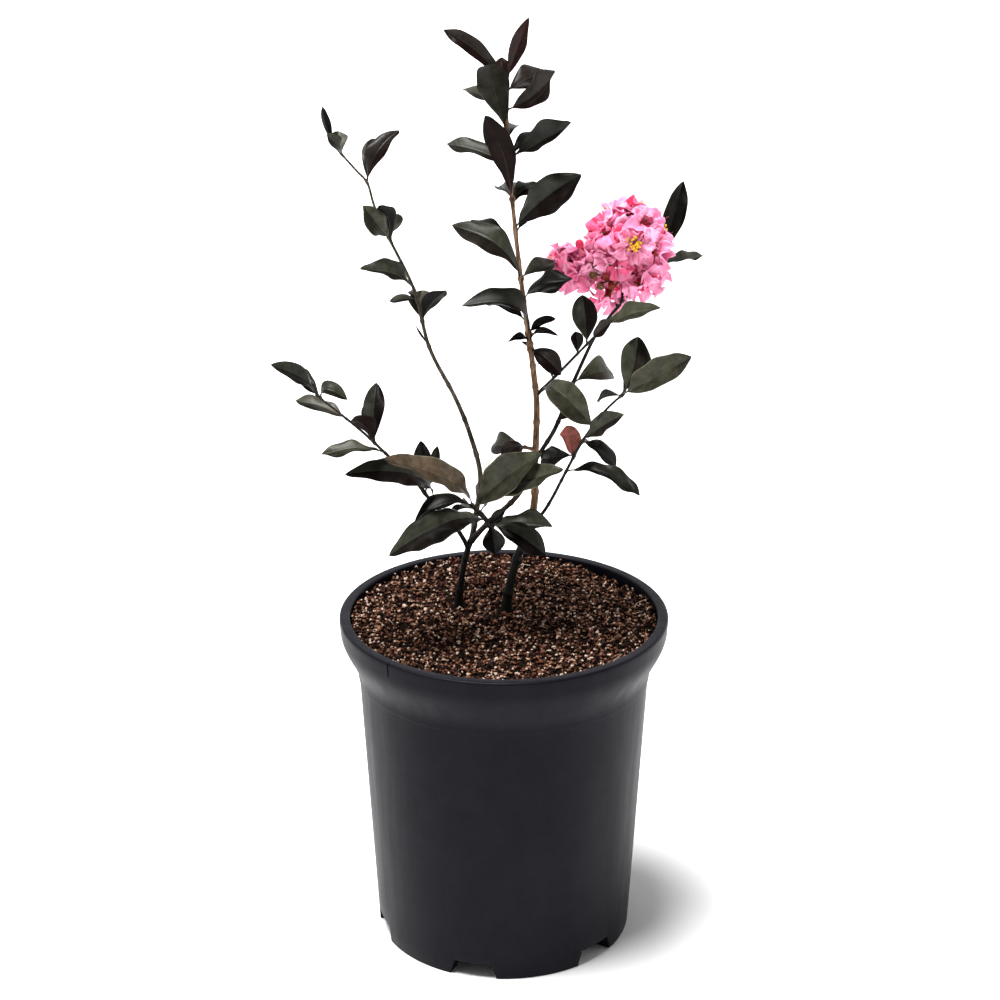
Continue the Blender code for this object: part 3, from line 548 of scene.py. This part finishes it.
def limbShape(route, foot, tip, flare, leaves, seed):
    # A tube whose radius tapers with the share to the power 0.8 and swells into a flare at the
    # mix; fine lengthwise ridges wander round it, and it is thicker at each leaf's joint.
    look = barkLook
    length = alongRoute(route, [0.0])[1]
    share = np.linspace(0, 1, max(12, int(length / look["step"])))
    centres = alongRoute(route, share)[0]
    radii = foot + (tip - foot) * share ** 0.8
    radii = radii + flare * np.exp(-np.maximum(centres[:, 2] - mixLevel, 0) / look["flareFade"])
    if not flare:
        radii = radii + look["collar"] * np.exp(-share * length / look["collarFade"])
    bareNodes = np.arange(25.0, length * 0.5, look["nodeGap"]) / length
    for scar in [leaf[0] for leaf in leaves] + list(bareNodes):
        away = (share - scar) * length / look["nodeHalf"]
        radii = radii * (1 + look["node"] * np.exp(-away ** 2))
    angle = np.linspace(0, math.tau, look["sides"], endpoint=False)[None, :]
    z = (share * length)[:, None]
    relief = 1 + look["ridge"] * (np.sin(5 * angle + 0.9 * np.sin(z / 9 + seed))
                                  + 0.6 * np.sin(9 * angle - 1.3 * np.sin(z / 5 + 2 * seed))
                                  + 0.5 * np.sin(2 * angle + z / 4.3))
    return tube(centres, radii, look["sides"], 0, relief)


for order, (name, branch) in enumerate(branches.items()):
    flare = branch.get("flare", 0.0)
    shapes = [limbShape(branch["route"], *branch["radius"], flare, branch["leaves"], order)]
    if "twig" in branch:
        shapes.append(limbShape(branch["twig"], 1.0, 0.7, 0.0, branch["twigLeaves"], order + 20))
    wood = barks[barkLook["woodOf"].get(name, "black")]
    cadNodes = [name, branch["mass"]] if name in boughs else [branch["mass"]]
    makePiece(name + "_bark", shapes, [wood], cadNodes)


# the panicle

bloomLook = {
    # a head is (centre, half axes, florets); a floret, cup or bud is (place, direction it faces)
    "heads": [((88, 46, 517), (25, 23, 26.5), 16), ((48, 41, 501), (13, 11, 9), 5)],
    "hanging": ((73, 37, 480), (-0.2, -0.6, -0.7)),
    "fillers": [((97, 29, 491), (0.15, -0.8, -0.5)), ((66, 34, 512), (-0.35, -0.9, 0.2)),
                ((79, 44, 488), (0.1, -0.9, -0.3)), ((64, 46, 492), (-0.3, -0.8, -0.4)),
                ((90, 50, 488), (0.3, -0.7, -0.6)), ((104, 40, 495), (0.6, -0.6, -0.5))],
    "size": 16.0, "thickness": 0.3, "claw": 0.28, "ruffle": 1.25,
    "heart": 0.66, "goldenAngle": 2.399963,
    "petal": {"light": "#ffb3d4", "middle": "#ff9cc2", "deep": "#fb78a2", "claw": "#d0305e"},
    "deal": {"light": 8, "middle": 3, "deep": 0.7},  # how often a petal has each pink
    "grain": 3.5,  # mm across
    "stamenTuft": ((91, 20, 523), (-0.1, -0.9, 0.35)),
    "stamen": {"filament": "#8f5a58", "anther": "#e2bf1c"},
    "antherReach": (4, 8), "threadReach": (10, 15),
    "calyx": {"green": "#6d6236", "red": "#8d3a2b", "crimson": "#d0365c"},
    "cups": [((66, 27, 505), (-0.3, -0.8, 0.3)), ((72, 26, 498), (0.1, -0.9, 0.1)),
             ((62, 28, 499), (-0.6, -0.7, 0.1)), ((68, 27, 491), (-0.2, -0.9, -0.3)),
             ((76, 27, 491), (0.2, -0.8, -0.4)), ((59, 30, 506), (-0.7, -0.5, 0.4)),
             ((72, 60, 490), (-0.3, 0.8, -0.3)), ((98, 64, 492), (0.3, 0.8, -0.4))],
    "cupRadii": np.array([0.7, 1.7, 2.4, 2.7, 2.9, 3.2, 2.4, 0.8]),
    "cupHeights": np.array([-7, -6, -4.5, -3, -1.5, 0.2, -0.8, -1.6]),
    "buds": [((53, 31, 521), (-0.3, -0.3, 0.9)), ((60, 57, 512), (-0.4, 0.7, 0.5)),
             ((74, 66, 538), (-0.2, 0.6, 0.7))],
    "budRadii": np.array([0.9, 2.1, 2.9, 3.2, 2.8, 1.9, 0.6]),
    "budHeights": np.array([-3.4, -2.6, -1.2, 0.3, 1.8, 2.9, 3.5]),
}
petalNames = list(bloomLook["petal"])


def petalTissue(name, colour, roughness):
    # thin matt petal: light passes into it a little, and a pinker grain and fine creases keep it
    # from looking waxed; stamens and calyx have the same skin in their own colours
    material, tree = newMaterial(name, {
        "IOR": 1.38, "Roughness": roughness, "Subsurface Weight": 0.1, "Subsurface Scale": 1.0,
        "Subsurface Radius": (0.002, 0.0010, 0.0012), "Specular IOR Level": 0.3})
    place = addNode(tree, "TexCoord").outputs["Object"]
    grain = noise(tree, place, bloomLook["grain"], 4.0)
    pinker = shade(colour, (0.97, 0.62, 0.72))
    return feedShader(material, {
        "Base Color": ramp(tree, grain, [(0.32, pinker), (0.64, linearColour(colour))]),
        "Normal": bumped(tree, grain, 0.3, 0.4)})


def petalShape(origin, outward, aim, size, draw, tint):
    # A narrow claw opens after a third of the length into a fan of about a third of a turn. The
    # fan leaves its plane by sines of the share across and along that grow towards its rim.
    lean = draw.uniform(0.0, 0.7)
    e = unit(aim * math.cos(lean) + outward * math.sin(lean))
    n = unit(outward * math.cos(lean) - aim * math.sin(lean))
    w = np.cross(n, e)
    rows, columns, claw = 10, 17, bloomLook["claw"]
    t = np.linspace(0, 1, rows)[:, None]
    s = np.linspace(-1, 1, columns)[None, :]
    x = np.clip((t - claw) / (1 - claw), 0, 1)
    phases = [draw.uniform(0, math.tau) for _ in range(5)]
    theta = s * draw.uniform(0.9, 1.2)
    margin = 1 - 0.24 * s ** 4 + 0.06 * np.sin(6 * s + phases[0]) + 0.04 * np.sin(9.5 * s + phases[1])
    rho = (1 - claw) * size * x * margin
    reach = claw * size * np.minimum(t / claw, 1) + rho * np.cos(theta)
    spread = 0.05 * size * s * (1 - x) + rho * np.sin(theta)
    cup = draw.uniform(-0.05, 0.30) * x - draw.uniform(0.05, 0.40) * x * x
    ruffle = (0.15 * x ** 1.2 * np.sin(5.2 * s + phases[2] + 1.5 * x)
              + 0.10 * x ** 1.8 * np.sin(9.0 * s + phases[3] - 2 * x)
              + 0.05 * x * np.sin(7 * x + phases[4] + 2 * s))
    lift = size * (cup + bloomLook["ruffle"] * ruffle)
    surface = origin + e * reach[..., None] + w * spread[..., None] + n * lift[..., None]
    inClaw = np.repeat(np.arange(rows - 1), columns - 1) < 3
    upper = np.where(inClaw, petalNames.index("claw"), petalNames.index(tint))
    return shell(surface, bloomLook["thickness"], upper, petalNames.index(tint))


def aroundAxis(axis):
    # the axis at length 1 and two directions square to it
    axis = unit(np.array(axis, float))
    side = unit(np.cross(axis, np.eye(3)[np.abs(axis).argmin()]))
    return axis, side, np.cross(axis, side)


def floretShapes(centre, outward, size, seed, count=6):
    # petals at even turns round the direction that the floret faces
    draw = random.Random(seed)
    outward, side, other = aroundAxis(outward)
    start = draw.uniform(0, math.tau)
    blades = []
    for index in range(count):
        angle = start + math.tau * index / count + draw.uniform(-0.2, 0.2)
        aim = side * math.cos(angle) + other * math.sin(angle)
        tint = draw.choices(list(bloomLook["deal"]), bloomLook["deal"].values())[0]
        blades.append(petalShape(centre, outward, aim, size * draw.uniform(0.85, 1.08), draw, tint))
    return blades


def stamenShapes(centre, outward, seed, threads, anthers, spread=0.5):
    # bowed threads that stand out of the floret; the first and shorter end in a yellow anther
    draw = random.Random(seed)
    outward, side, other = aroundAxis(outward)
    line = np.linspace(0, 1, 6)[:, None]
    shapes = []
    for index in range(threads + anthers):
        angle = draw.uniform(0, math.tau)
        across = side * math.cos(angle) + other * math.sin(angle)
        yellow = index < anthers
        reach = draw.uniform(*bloomLook["antherReach" if yellow else "threadReach"])
        aim = unit(outward + spread * draw.uniform(0.2, 1.6) * across)
        path = centre + aim * line * reach + across * (0.18 * reach * np.sin(math.pi * line))
        shapes.append(tube(path, np.linspace(0.24, 0.15, 6), 5, 0))
        if yellow:
            bar = unit(np.cross(aim, across)) * draw.uniform(0.8, 1.1)
            ends = path[-1] + bar * np.linspace(-1, 1, 5)[:, None]
            shapes.append(tube(ends, np.array([0.30, 0.62, 0.70, 0.62, 0.30]), 7, 1))
    return shapes


def turnedShape(origin, axis, radii, heights, sides, index, lobes=0.0):
    # a round form: each ring stands at its height on the axis, with six lobes that grow upwards
    axis, side, other = aroundAxis(axis)
    angle = np.linspace(0, math.tau, sides, endpoint=False)[None, :]
    radii, heights = radii[:, None], heights[:, None]
    grow = np.linspace(0, 1, len(radii))[:, None]
    reach = (radii * (1 + lobes * grow * np.cos(6 * angle)))[..., None]
    centres = origin + axis * heights
    ring = centres[:, None] + reach * (np.cos(angle)[..., None] * side
                                       + np.sin(angle)[..., None] * other)
    return cappedRings(ring, centres, index)


def cupShape(spot, axis, size, index, lobes):
    # the calyx: a ribbed cup on a short neck
    radii, heights = bloomLook["cupRadii"] * size, bloomLook["cupHeights"] * size
    return turnedShape(spot, axis, radii, heights, 18, index, lobes)


def stalk(start, end, thick, thin, sides=8, bow=0.0):
    # a tapering rod, straight or bowed by this offset at its middle
    line = np.linspace(0, 1, 14)[:, None]
    path = start + (end - start) * line + bow * np.sin(math.pi * line)
    return tube(path, np.linspace(thick, thin, 14), sides)


def headPlaces(centre, axes, count, turnStart, inset):
    # evenly spaced by the golden angle on a ball with these half axes, from its top to low down
    places = []
    for index in range(count):
        rise = 0.92 - 1.55 * index / (count - 1)
        turn = bloomLook["goldenAngle"] * index + turnStart
        level = math.sqrt(1 - rise * rise)
        outward = np.array([level * math.cos(turn), level * math.sin(turn), rise])
        places.append((centre + np.array(axes) * inset * outward, outward))
    return places


def heartShape(centre, axes):
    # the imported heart: a ball with these half axes, a little lumpy
    rise = np.linspace(-1, 1, 16) * math.pi / 2
    radii, heights = np.cos(rise), np.sin(rise)
    points, groups = turnedShape(np.zeros(3), (0, 0, 1), radii, heights, 28, petalNames.index("deep"))
    lumps = 1 + 0.06 * np.sin(5 * points[:, 0] + 3 * points[:, 2]) * np.sin(6 * points[:, 1] + 2)
    return centre + points * lumps[:, None] * np.array(axes) * bloomLook["heart"], groups


petals, stamens, green = [], [], []
seed = 500
root = np.array(branches["flower_bough"]["route"][-1], float)
short = np.linspace(0, 12 / 13, 7)[:, None]  # such a stalk ends inside its floret
for centre, axes, count in bloomLook["heads"]:
    centre = np.array(centre, float)
    large = count > 12
    petals.append(heartShape(centre, axes))
    outer = headPlaces(centre, axes, count, 0.6, 1.0)
    inner = headPlaces(centre, axes, count, 1.9, 0.86)[::2 if large else 1]
    for index, (spot, outward) in enumerate(outer + inner):
        seed += 1
        whole = index < count or not large  # the large head's inner florets are smaller and barer
        size = bloomLook["size"] * (1.0 if whole else 0.9)
        petals += floretShapes(spot - outward * 3, outward, size, seed, 6 if whole else 5)
        if whole:
            shed = outward[1] < -0.3  # those at the front have lost their anthers
            threads, anthers = (3, 0) if shed else (2, 7)
            stamens += stamenShapes(spot - outward * 2, outward, seed, threads, anthers)
        green.append(tube(centre + (spot - outward * 4 - centre) * short, np.full(7, 0.75)))
        green.append(cupShape(spot - outward * 1.5, outward, 1.0, 1, 0.12))
    green.append(stalk(root, centre, 1.4, 1.0, 10, np.array([0, -1.5, 1.5])))
for spot, outward in [bloomLook["hanging"]] + bloomLook["fillers"]:
    seed += 1
    spot = np.array(spot, float)
    petals += floretShapes(spot, outward, bloomLook["size"] * 0.95, seed)
    green.append(stalk(root, spot, 1.0, 0.8, 10))
    green.append(cupShape(spot - unit(np.array(outward)) * 0.5, outward, 1.0, 1, 0.12))
tuftPlace, tuftOutward = bloomLook["stamenTuft"]
stamens += stamenShapes(np.array(tuftPlace, float), tuftOutward, 90, 8, 30, 0.75)
for index, (spot, axis) in enumerate(bloomLook["cups"]):
    spot, tip = np.array(spot, float), unit(np.array(axis, float))
    green.append(cupShape(spot, axis, 0.8, (0, 1, 0)[index % 3], 0.2))
    green.append(stalk(root, spot - tip * 4, 0.75, 0.75))
for spot, axis in bloomLook["buds"]:
    spot, tip = np.array(spot, float), unit(np.array(axis, float))
    green.append(turnedShape(spot, axis, bloomLook["budRadii"], bloomLook["budHeights"], 18, 2, 0.05))
    green.append(stalk(root, spot - tip * 3, 0.75, 0.75))

for piece, shapes, prefix, tints, roughness in (
        ("panicle_petals", petals, "petalTissue_", bloomLook["petal"], 0.6),
        ("panicle_stamens", stamens, "stamen_", bloomLook["stamen"], 0.6),
        ("panicle_stalks", green, "calyx_", bloomLook["calyx"], 0.5)):
    materials = [petalTissue(prefix + name, colour, roughness) for name, colour in tints.items()]
    makePiece(piece, shapes, materials, ["flower_spray"])


# the pot

potLook = {
    "height": 252.0, "rim": 120.0, "lip": 7.8, "flare": 206.0, "wallTop": 107.0, "foot": 94.4, "wall": 2.4,
    "under": 13.0, "floor": 3.0, "footDepth": 12.0, "notches": 6, "notchHeight": 12.0,
    "notchBottom": 35.0, "notchTop": 28.0, "firstNotch": -104.0,  # degrees from +X
    "band": 9.0, "lipRound": 1.8, "floorRound": 3.0,
    "nick": -132.7, "nickDepth": 1.0, "nickFrom": 242.0, "columns": 216,
    "black": "#0c0b13", "bloomed": "#14131b",
    "flow": 14.0, "dust": 30.0, "scuff": 2.2,  # mm across
}


def mouldedPolypropylene():
    # injection moulded black polypropylene: a satin skin with faint upright flow marks, dust and
    # fine scuffs
    material, tree = newMaterial("mouldedPolypropylene", {"IOR": 1.49, "Specular IOR Level": 0.075})
    place = addNode(tree, "TexCoord").outputs["Object"]
    upright = addNode(tree, "Mapping", {"Vector": place, "Scale": (1.0, 1.0, 0.12)})
    flow = noise(tree, upright.outputs["Vector"], potLook["flow"], 6.0, 0.62)
    dust = noise(tree, place, potLook["dust"], 8.0, 0.7)
    scuff = noise(tree, place, potLook["scuff"], 6.0, 0.75)
    dusty = remap(tree, dust, 0.42, 0.72, 0.0, 0.75)
    relief = addNode(tree, "Math", {0: scuff, 1: flow}, operation="ADD").outputs[0]
    return feedShader(material, {
        "Base Color": blend(tree, dusty, linearColour(potLook["black"]), linearColour(potLook["bloomed"])),
        "Roughness": remap(tree, flow, 0.3, 0.7, 0.36, 0.50),
        "Normal": bumped(tree, relief, 0.22, 0.6)})


def potProfile():
    # half section from the floor's middle, up the inner wall, over the lip and down to the foot
    p = potLook
    lipInner, inner = p["rim"] - p["lip"], p["foot"] - p["footDepth"]
    wallInner, footInner = p["wallTop"] - p["wall"], p["foot"] + 0.8 - p["wall"]
    floorTop, bend, lipRound = p["under"] + p["floor"], p["floorRound"], p["lipRound"]
    a = np.linspace(0, math.pi / 2, 6)

    def ease(k):
        # 0 to 1 with a level start and end
        return (1 - math.cos(math.pi * k)) / 2

    section = [(r, floorTop) for r in np.linspace(0.0, footInner - bend, 9)]
    section += [(footInner - bend + bend * math.sin(b), floorTop + bend - bend * math.cos(b)) for b in a[1:]]
    section += [(footInner + (wallInner - footInner) * k, floorTop + bend + (p["flare"] - 7 - floorTop) * k)
                for k in np.linspace(0.05, 1, 10)]
    section += [(wallInner + (lipInner - wallInner) * ease(k),
                 p["flare"] - 4 + (p["height"] - 2 - p["flare"]) * k) for k in np.linspace(0.1, 1, 10)]
    section += [(lipInner + 1.2 * (1 - math.cos(b)), p["height"] - 1.2 + 1.2 * math.sin(b)) for b in a]
    section += [(r, p["height"]) for r in (lipInner + 3, p["rim"] - 3)]
    section += [(p["rim"] - lipRound + lipRound * math.sin(b),
                 p["height"] - lipRound + lipRound * math.cos(b)) for b in a]
    section += [(p["rim"] - 0.4 * k, p["height"] - 2 - (p["band"] - 2) * k) for k in (0.35, 0.7, 1.0)]
    section += [(p["rim"] - 0.4 + (p["wallTop"] + 0.4 - p["rim"]) * ease(k),
                 p["height"] - p["band"] - (p["height"] - p["flare"] - p["band"]) * k)
                for k in np.linspace(0.06, 1, 18)]
    # a fine step where the flare meets the wall, then the wall down to the rounded foot
    section += [(p["wallTop"] - inset, p["flare"] - drop)
                for inset, drop in ((0.15, 0.7), (0.8, 1.3), (0.95, 2.5))]
    section += [(p["wallTop"] - 1.0 + (p["foot"] + 1.2 - p["wallTop"]) * k,
                 p["flare"] - 4 - (p["flare"] - 5.2) * k) for k in np.linspace(0.04, 1, 16)]
    section += [(p["foot"] - 0.8 + 0.9 * math.sin(b), 0.9 - 0.9 * math.cos(b)) for b in a[::-1]]
    section += [(r, 0.0) for r in np.linspace(p["foot"] - 2.5, inner + 1.0, 5)] + [(inner, 0.4)]
    section += [(inner - 0.6 * k, 0.4 + (p["under"] - 0.4) * k) for k in (0.35, 0.7, 1.0)]
    section += [(r, p["under"]) for r in np.linspace(inner - 6, 0.0, 9)]
    return np.array(section)


def potShape():
    # The section is turned round Z. Round each notch the foot's points are lifted to the notch's
    # roof, which falls to the floor over the slanting sides. Angles are in degrees.
    p = potLook
    section = potProfile()

    def wrapped(degrees):
        # from -180 to 180
        return (degrees + 180) % 360 - 180

    low = math.degrees(math.asin(p["notchBottom"] / 2 / p["foot"]))
    high = math.degrees(math.asin(p["notchTop"] / 2 / p["foot"]))
    centres = p["firstNotch"] + 360 / p["notches"] * np.arange(p["notches"])
    even = np.arange(p["columns"]) * 360 / p["columns"] - 180
    edges = wrapped(np.concatenate([centres + k for k in (-low, -high, high, low)]))
    near = np.abs(wrapped(even[:, None] - edges[None, :])).min(1)
    nick = p["nick"] + np.array([-0.35, -0.15, 0.15, 0.35])
    clear = np.abs(even - p["nick"]) > 0.6
    angle = np.sort(np.concatenate([even[(near > 0.55) & clear], edges, nick]))
    off = np.abs(wrapped(angle[:, None] - centres[None, :])).min(1)
    roof = p["notchHeight"] * np.clip((low - off) / (low - high), 0, 1)[None, :]
    turn = np.radians(angle)[None, :]
    radius, height = section[:, :1], section[:, 1:]
    outside = np.arange(len(section))[:, None] > int(np.argmax(section[:, 0]))
    z = np.where(outside, np.maximum(height, roof), height + 0 * roof)
    # a fine upright nick in the rim at the front left
    rimOnly = (radius > p["rim"] - 2.2) & (height > p["nickFrom"])
    radius = radius - p["nickDepth"] * ((np.abs(angle - p["nick"]) < 0.2)[None, :] & rimOnly)
    points = np.stack([radius * np.cos(turn), radius * np.sin(turn), z], -1)
    quads = gridFaces(len(section), len(angle), closed=True)
    return points.reshape(-1, 3), [(quads[:, ::-1], 0)]


def closePoles(piece):
    # the points on the axis become one, and the faces point outwards
    body = bmesh.new()
    body.from_mesh(piece.data)
    bmesh.ops.remove_doubles(body, verts=body.verts, dist=1e-6)
    bmesh.ops.dissolve_degenerate(body, edges=body.edges, dist=1e-6)
    bmesh.ops.recalc_face_normals(body, faces=body.faces)
    body.to_mesh(piece.data)
    body.free()


pot = makePiece("nursery_pot", [potShape()], [mouldedPolypropylene()], ["pot"])
closePoles(pot)
pot.data.set_sharp_from_angle(angle=math.radians(32))


# the potting mix

mixLook = {
    "rings": 64, "columns": 180, "clod": 1.7, "grain": 1.3,
    "pits": [(-63, 66), (-73, -20), (59, -29), (69, -52), (-47, -39), (-6, 55), (20, -70), (-30, 20),
             (88, 10)],
    "pitDepth": 4.5, "pitRadius": 4.0, "spread": 111.0, "stemClear": 6.0,
    "tints": {  # from the gaps up, darker lower down as painted shade in the gaps: sRGB, roughness, specular level
        "peatInGapShade": ("#060302", 0.8, 0.05), "peatBrownGapShade": ("#140905", 0.75, 0.08),
        "barkBrown": ("#331c12", 0.6, 0.25), "barkRed": ("#5e3320", 0.55, 0.3),
        "barkTan": ("#8a6248", 0.5, 0.4), "straw": ("#cdb39f", 0.45, 0.5)},
    "loose": {  # count, seed, ranges of length, width, thickness and lift, share of each tint
        "mix_crumbs": (15500, 11, (0.8, 2.1), (0.7, 1.5), (0.7, 1.4), (-0.7, 1.2),
                       (0.24, 0.22, 0.22, 0.15, 0.12, 0.05)),
        "mix_chips": (1300, 13, (2.0, 4.4), (1.2, 2.8), (0.7, 1.5), (-0.9, 0.8),
                      (0.2, 0.3, 0.3, 0.12, 0.06, 0.02)),
        "mix_fibres": (90, 12, (5, 12), (0.25, 0.45), (0.25, 0.4), (0.9, 1.7),
                       (0, 0, 0.2, 0.3, 0.35, 0.15)),
    },
}


def clods(x, y):
    # crumbs hang together in clods about 12 mm across
    return (mixLook["clod"] * np.sin(0.52 * x + 0.3 * y + 1.6 * np.sin(0.17 * y))
            * np.sin(0.48 * y - 0.22 * x + 1.7 * np.sin(0.13 * x)))


def mixHeight(x, y):
    # proud round the stems, high at the back and low at the right back, with small lumps
    mound = 4.0 * np.exp(-((x + 5) ** 2 + (y - 15) ** 2) / 70 ** 2)
    back = 3.5 * np.exp(-((x + 15) ** 2 + (y - 95) ** 2) / 45 ** 2)
    dip = 3.0 * np.exp(-((x - 85) ** 2 + (y - 60) ** 2) / 35 ** 2)
    lumps = 0.7 * np.sin(0.21 * x + 1.3) * np.sin(0.17 * y) + 0.5 * np.sin(0.11 * x - 0.26 * y)
    fine = 0.5 * np.sin(1.1 * x + 0.4 * y) * np.sin(0.9 * y - 0.5 * x + 1) + 0.3 * np.sin(2.1 * x - 1.7 * y)
    pits = sum(np.exp(-((x - a) ** 2 + (y - b) ** 2) / mixLook["pitRadius"] ** 2) for a, b in mixLook["pits"])
    return mixLevel + mound + back - dip + lumps + fine + clods(x, y) - mixLook["pitDepth"] * pits


def compostedBark(name, colour, roughness, gleam):
    # composted bark and peat: crumbly and damp, so that some faces gleam
    material, tree = newMaterial(name, {"IOR": 1.4, "Specular IOR Level": gleam})
    place = addNode(tree, "TexCoord").outputs["Object"]
    crumb = noise(tree, place, mixLook["grain"], 6.0, 0.7)
    return feedShader(material, {
        "Base Color": ramp(tree, crumb, [(0.30, shade(colour, 0.45)), (0.66, shade(colour, 1.35))]),
        "Roughness": remap(tree, crumb, 0.0, 1.0, roughness - 0.15, roughness + 0.25),
        "Normal": bumped(tree, crumb, 0.7, 0.8)})


def mixBody():
    # a round grid for the surface, then the side and bottom that fill the pot
    p = potLook
    clear = p["wall"] + 0.4
    low, middle = p["foot"] + 0.8 - clear, p["wallTop"] - clear
    top = middle + (p["rim"] - p["lip"] - p["wallTop"] + p["wall"]) * 0.86
    floor = p["under"] + p["floor"] + 0.3
    angle = np.linspace(0, math.tau, mixLook["columns"], endpoint=False)[None, :]
    radius = (np.linspace(0.0, 1, mixLook["rings"]) ** 0.8 * top)[:, None]
    x, y = radius * np.cos(angle), radius * np.sin(angle)
    surface = np.stack([x, y, mixHeight(x, y)], -1)
    side = np.array([(middle, p["flare"] - 4), (low, floor + 3.2), (low - 3.2, floor), (0.0, floor)])
    out, height = side[:, :1], side[:, 1:]
    lower = np.stack([out * np.cos(angle), out * np.sin(angle), height + 0 * angle], -1)
    points = np.concatenate([surface, lower])
    quads = gridFaces(len(points), mixLook["columns"], closed=True)
    return points.reshape(-1, 3), [(quads, 0)]


def chipShapes(count, seed, lengths, widths, thicknesses, lifts, shares):
    # a box per chip with its corners pushed about, turned at random but lying fairly flat
    draw = np.random.default_rng(seed)
    radius = mixLook["spread"] * np.sqrt(draw.random(count))
    angle = draw.random(count) * math.tau
    x, y = radius * np.cos(angle), radius * np.sin(angle)
    keep = np.ones(count, bool)
    for branch in ("main_stem", "left_stem"):
        foot = branches[branch]["route"][0]
        keep &= np.hypot(x - foot[0], y - foot[1]) > mixLook["stemClear"]
    for a, b in mixLook["pits"]:
        keep &= np.hypot(x - a, y - b) > draw.uniform(0.4, 1.1, count) * mixLook["pitRadius"]
    x, y = x[keep], y[keep]
    count = len(x)
    size = np.stack([draw.uniform(*span, count) for span in (lengths, widths, thicknesses)], -1)
    corner = np.array([(i, j, k) for i in (-1, 1) for j in (-1, 1) for k in (-1, 1)], float)
    local = corner[None] * (0.5 + 0.22 * draw.uniform(-1, 1, (count, 8, 3))) * size[:, None]
    yaw = draw.random(count) * math.tau
    pitch, roll = draw.normal(0, 0.45, count), draw.normal(0, 0.7, count)
    cy, sy, cp, sp, cr, sr = [wave(a) for a in (yaw, pitch, roll) for wave in (np.cos, np.sin)]
    turn = np.stack([
        np.stack([cy * cp, cy * sp * sr - sy * cr, cy * sp * cr + sy * sr], -1),
        np.stack([sy * cp, sy * sp * sr + cy * cr, sy * sp * cr - cy * sr], -1),
        np.stack([-sp, cp * sr, cp * cr], -1)], -2)
    lift = draw.uniform(0, 1, count)
    centre = np.stack([x, y, mixHeight(x, y) + lifts[0] + (lifts[1] - lifts[0]) * lift], -1)
    points = np.einsum("nij,nkj->nki", turn, local) + centre[:, None]
    box = np.array([(0, 1, 3, 2), (4, 6, 7, 5), (0, 4, 5, 1), (2, 3, 7, 6), (0, 2, 6, 4), (1, 5, 7, 3)])
    faces = (box[None] + 8 * np.arange(count)[:, None, None]).reshape(-1, 4)
    # the lower a crumb lies, the darker it is dealt, painted shade in the gaps between crumbs
    rank = np.argsort(np.argsort(lift + 0.2 * clods(x, y) + draw.normal(0, 0.3, count))) / count
    tint = np.searchsorted(np.cumsum(shares) / sum(shares), rank).clip(0, len(shares) - 1)
    return points.reshape(-1, 3), [(faces, np.repeat(tint, 6))]


mixMaterials = [compostedBark("compostedBark_" + name, *look) for name, look in mixLook["tints"].items()]
# the body between the crumbs takes the dark peat tint, painted shade for the gaps
closePoles(makePiece("mix_body", [mixBody()], [mixMaterials[1]], ["potting_mix"]))
for name, loose in mixLook["loose"].items():
    makePiece(name, [chipShapes(*loose)], mixMaterials, ["potting_mix"], flat=True)


# floor, light and camera

studio = {
    "camera": (-0.00285, -1.6564, 0.9945), "pitch": 21.56, "lens": 89.39, "sensor": 36.0,
    "floor": "#ffffff", "floorSize": 40.0, "front": 0.16, "back": 1.5,  # strengths of the room's light
    "key": 6.2, "keyAngle": 26.0, "keyFrom": (-0.21, -0.07, 1.0),
}


def addFloor():
    # a plain pale sheet under everything
    mesh = bpy.data.meshes.new("floor")
    h = studio["floorSize"] / 2
    mesh.from_pydata([(-h, -h, 0), (h, -h, 0), (h, h, 0), (-h, h, 0)], [], [(0, 1, 2, 3)])
    floor = bpy.data.objects.new("floor", mesh)
    bpy.context.scene.collection.objects.link(floor)
    paint = {"Base Color": linearColour(studio["floor"]), "Roughness": 0.9, "Specular IOR Level": 0.1}
    mesh.materials.append(newMaterial("paintedStudioFloor", paint)[0])


def addKeyLamp():
    # one broad soft light from high on the left
    lamp = bpy.data.lights.new("keyLamp", "SUN")
    lamp.energy = studio["key"]
    lamp.angle = math.radians(studio["keyAngle"])
    holder = bpy.data.objects.new("keyLamp", lamp)
    holder.rotation_euler = Vector(studio["keyFrom"]).to_track_quat("Z", "Y").to_euler()
    bpy.context.scene.collection.objects.link(holder)


def addRoom():
    # pale walls low at the sides and the back, and a dim room over and in front of the plant
    world = bpy.data.worlds.new("studioRoom")
    world.use_nodes = True
    tree = world.node_tree
    background = tree.nodes["Background"]
    background.inputs["Color"].default_value = (1, 1, 1, 1)
    towards = addNode(tree, "SeparateXYZ", {"Vector": addNode(tree, "TexCoord").outputs["Generated"]})
    behind = remap(tree, towards.outputs["Y"], -0.65, 0.10)
    low = remap(tree, towards.outputs["Z"], 0.80, 0.30)
    wall = addNode(tree, "Math", {0: behind, 1: low}, operation="MULTIPLY").outputs[0]
    strength = remap(tree, wall, 0.0, 1.0, studio["front"], studio["back"])
    tree.links.new(strength, background.inputs["Strength"])
    bpy.context.scene.world = world


def addCamera():
    camera = bpy.data.objects.new("camera", bpy.data.cameras.new("camera"))
    camera.data.lens = studio["lens"]
    camera.data.sensor_width = studio["sensor"]
    camera.location = studio["camera"]
    camera.rotation_euler = (math.radians(90 - studio["pitch"]), 0, 0)
    bpy.context.scene.collection.objects.link(camera)
    bpy.context.scene.camera = camera


addFloor()
addKeyLamp()
addRoom()
addCamera()
bpy.context.scene.view_settings.view_transform = "Standard"
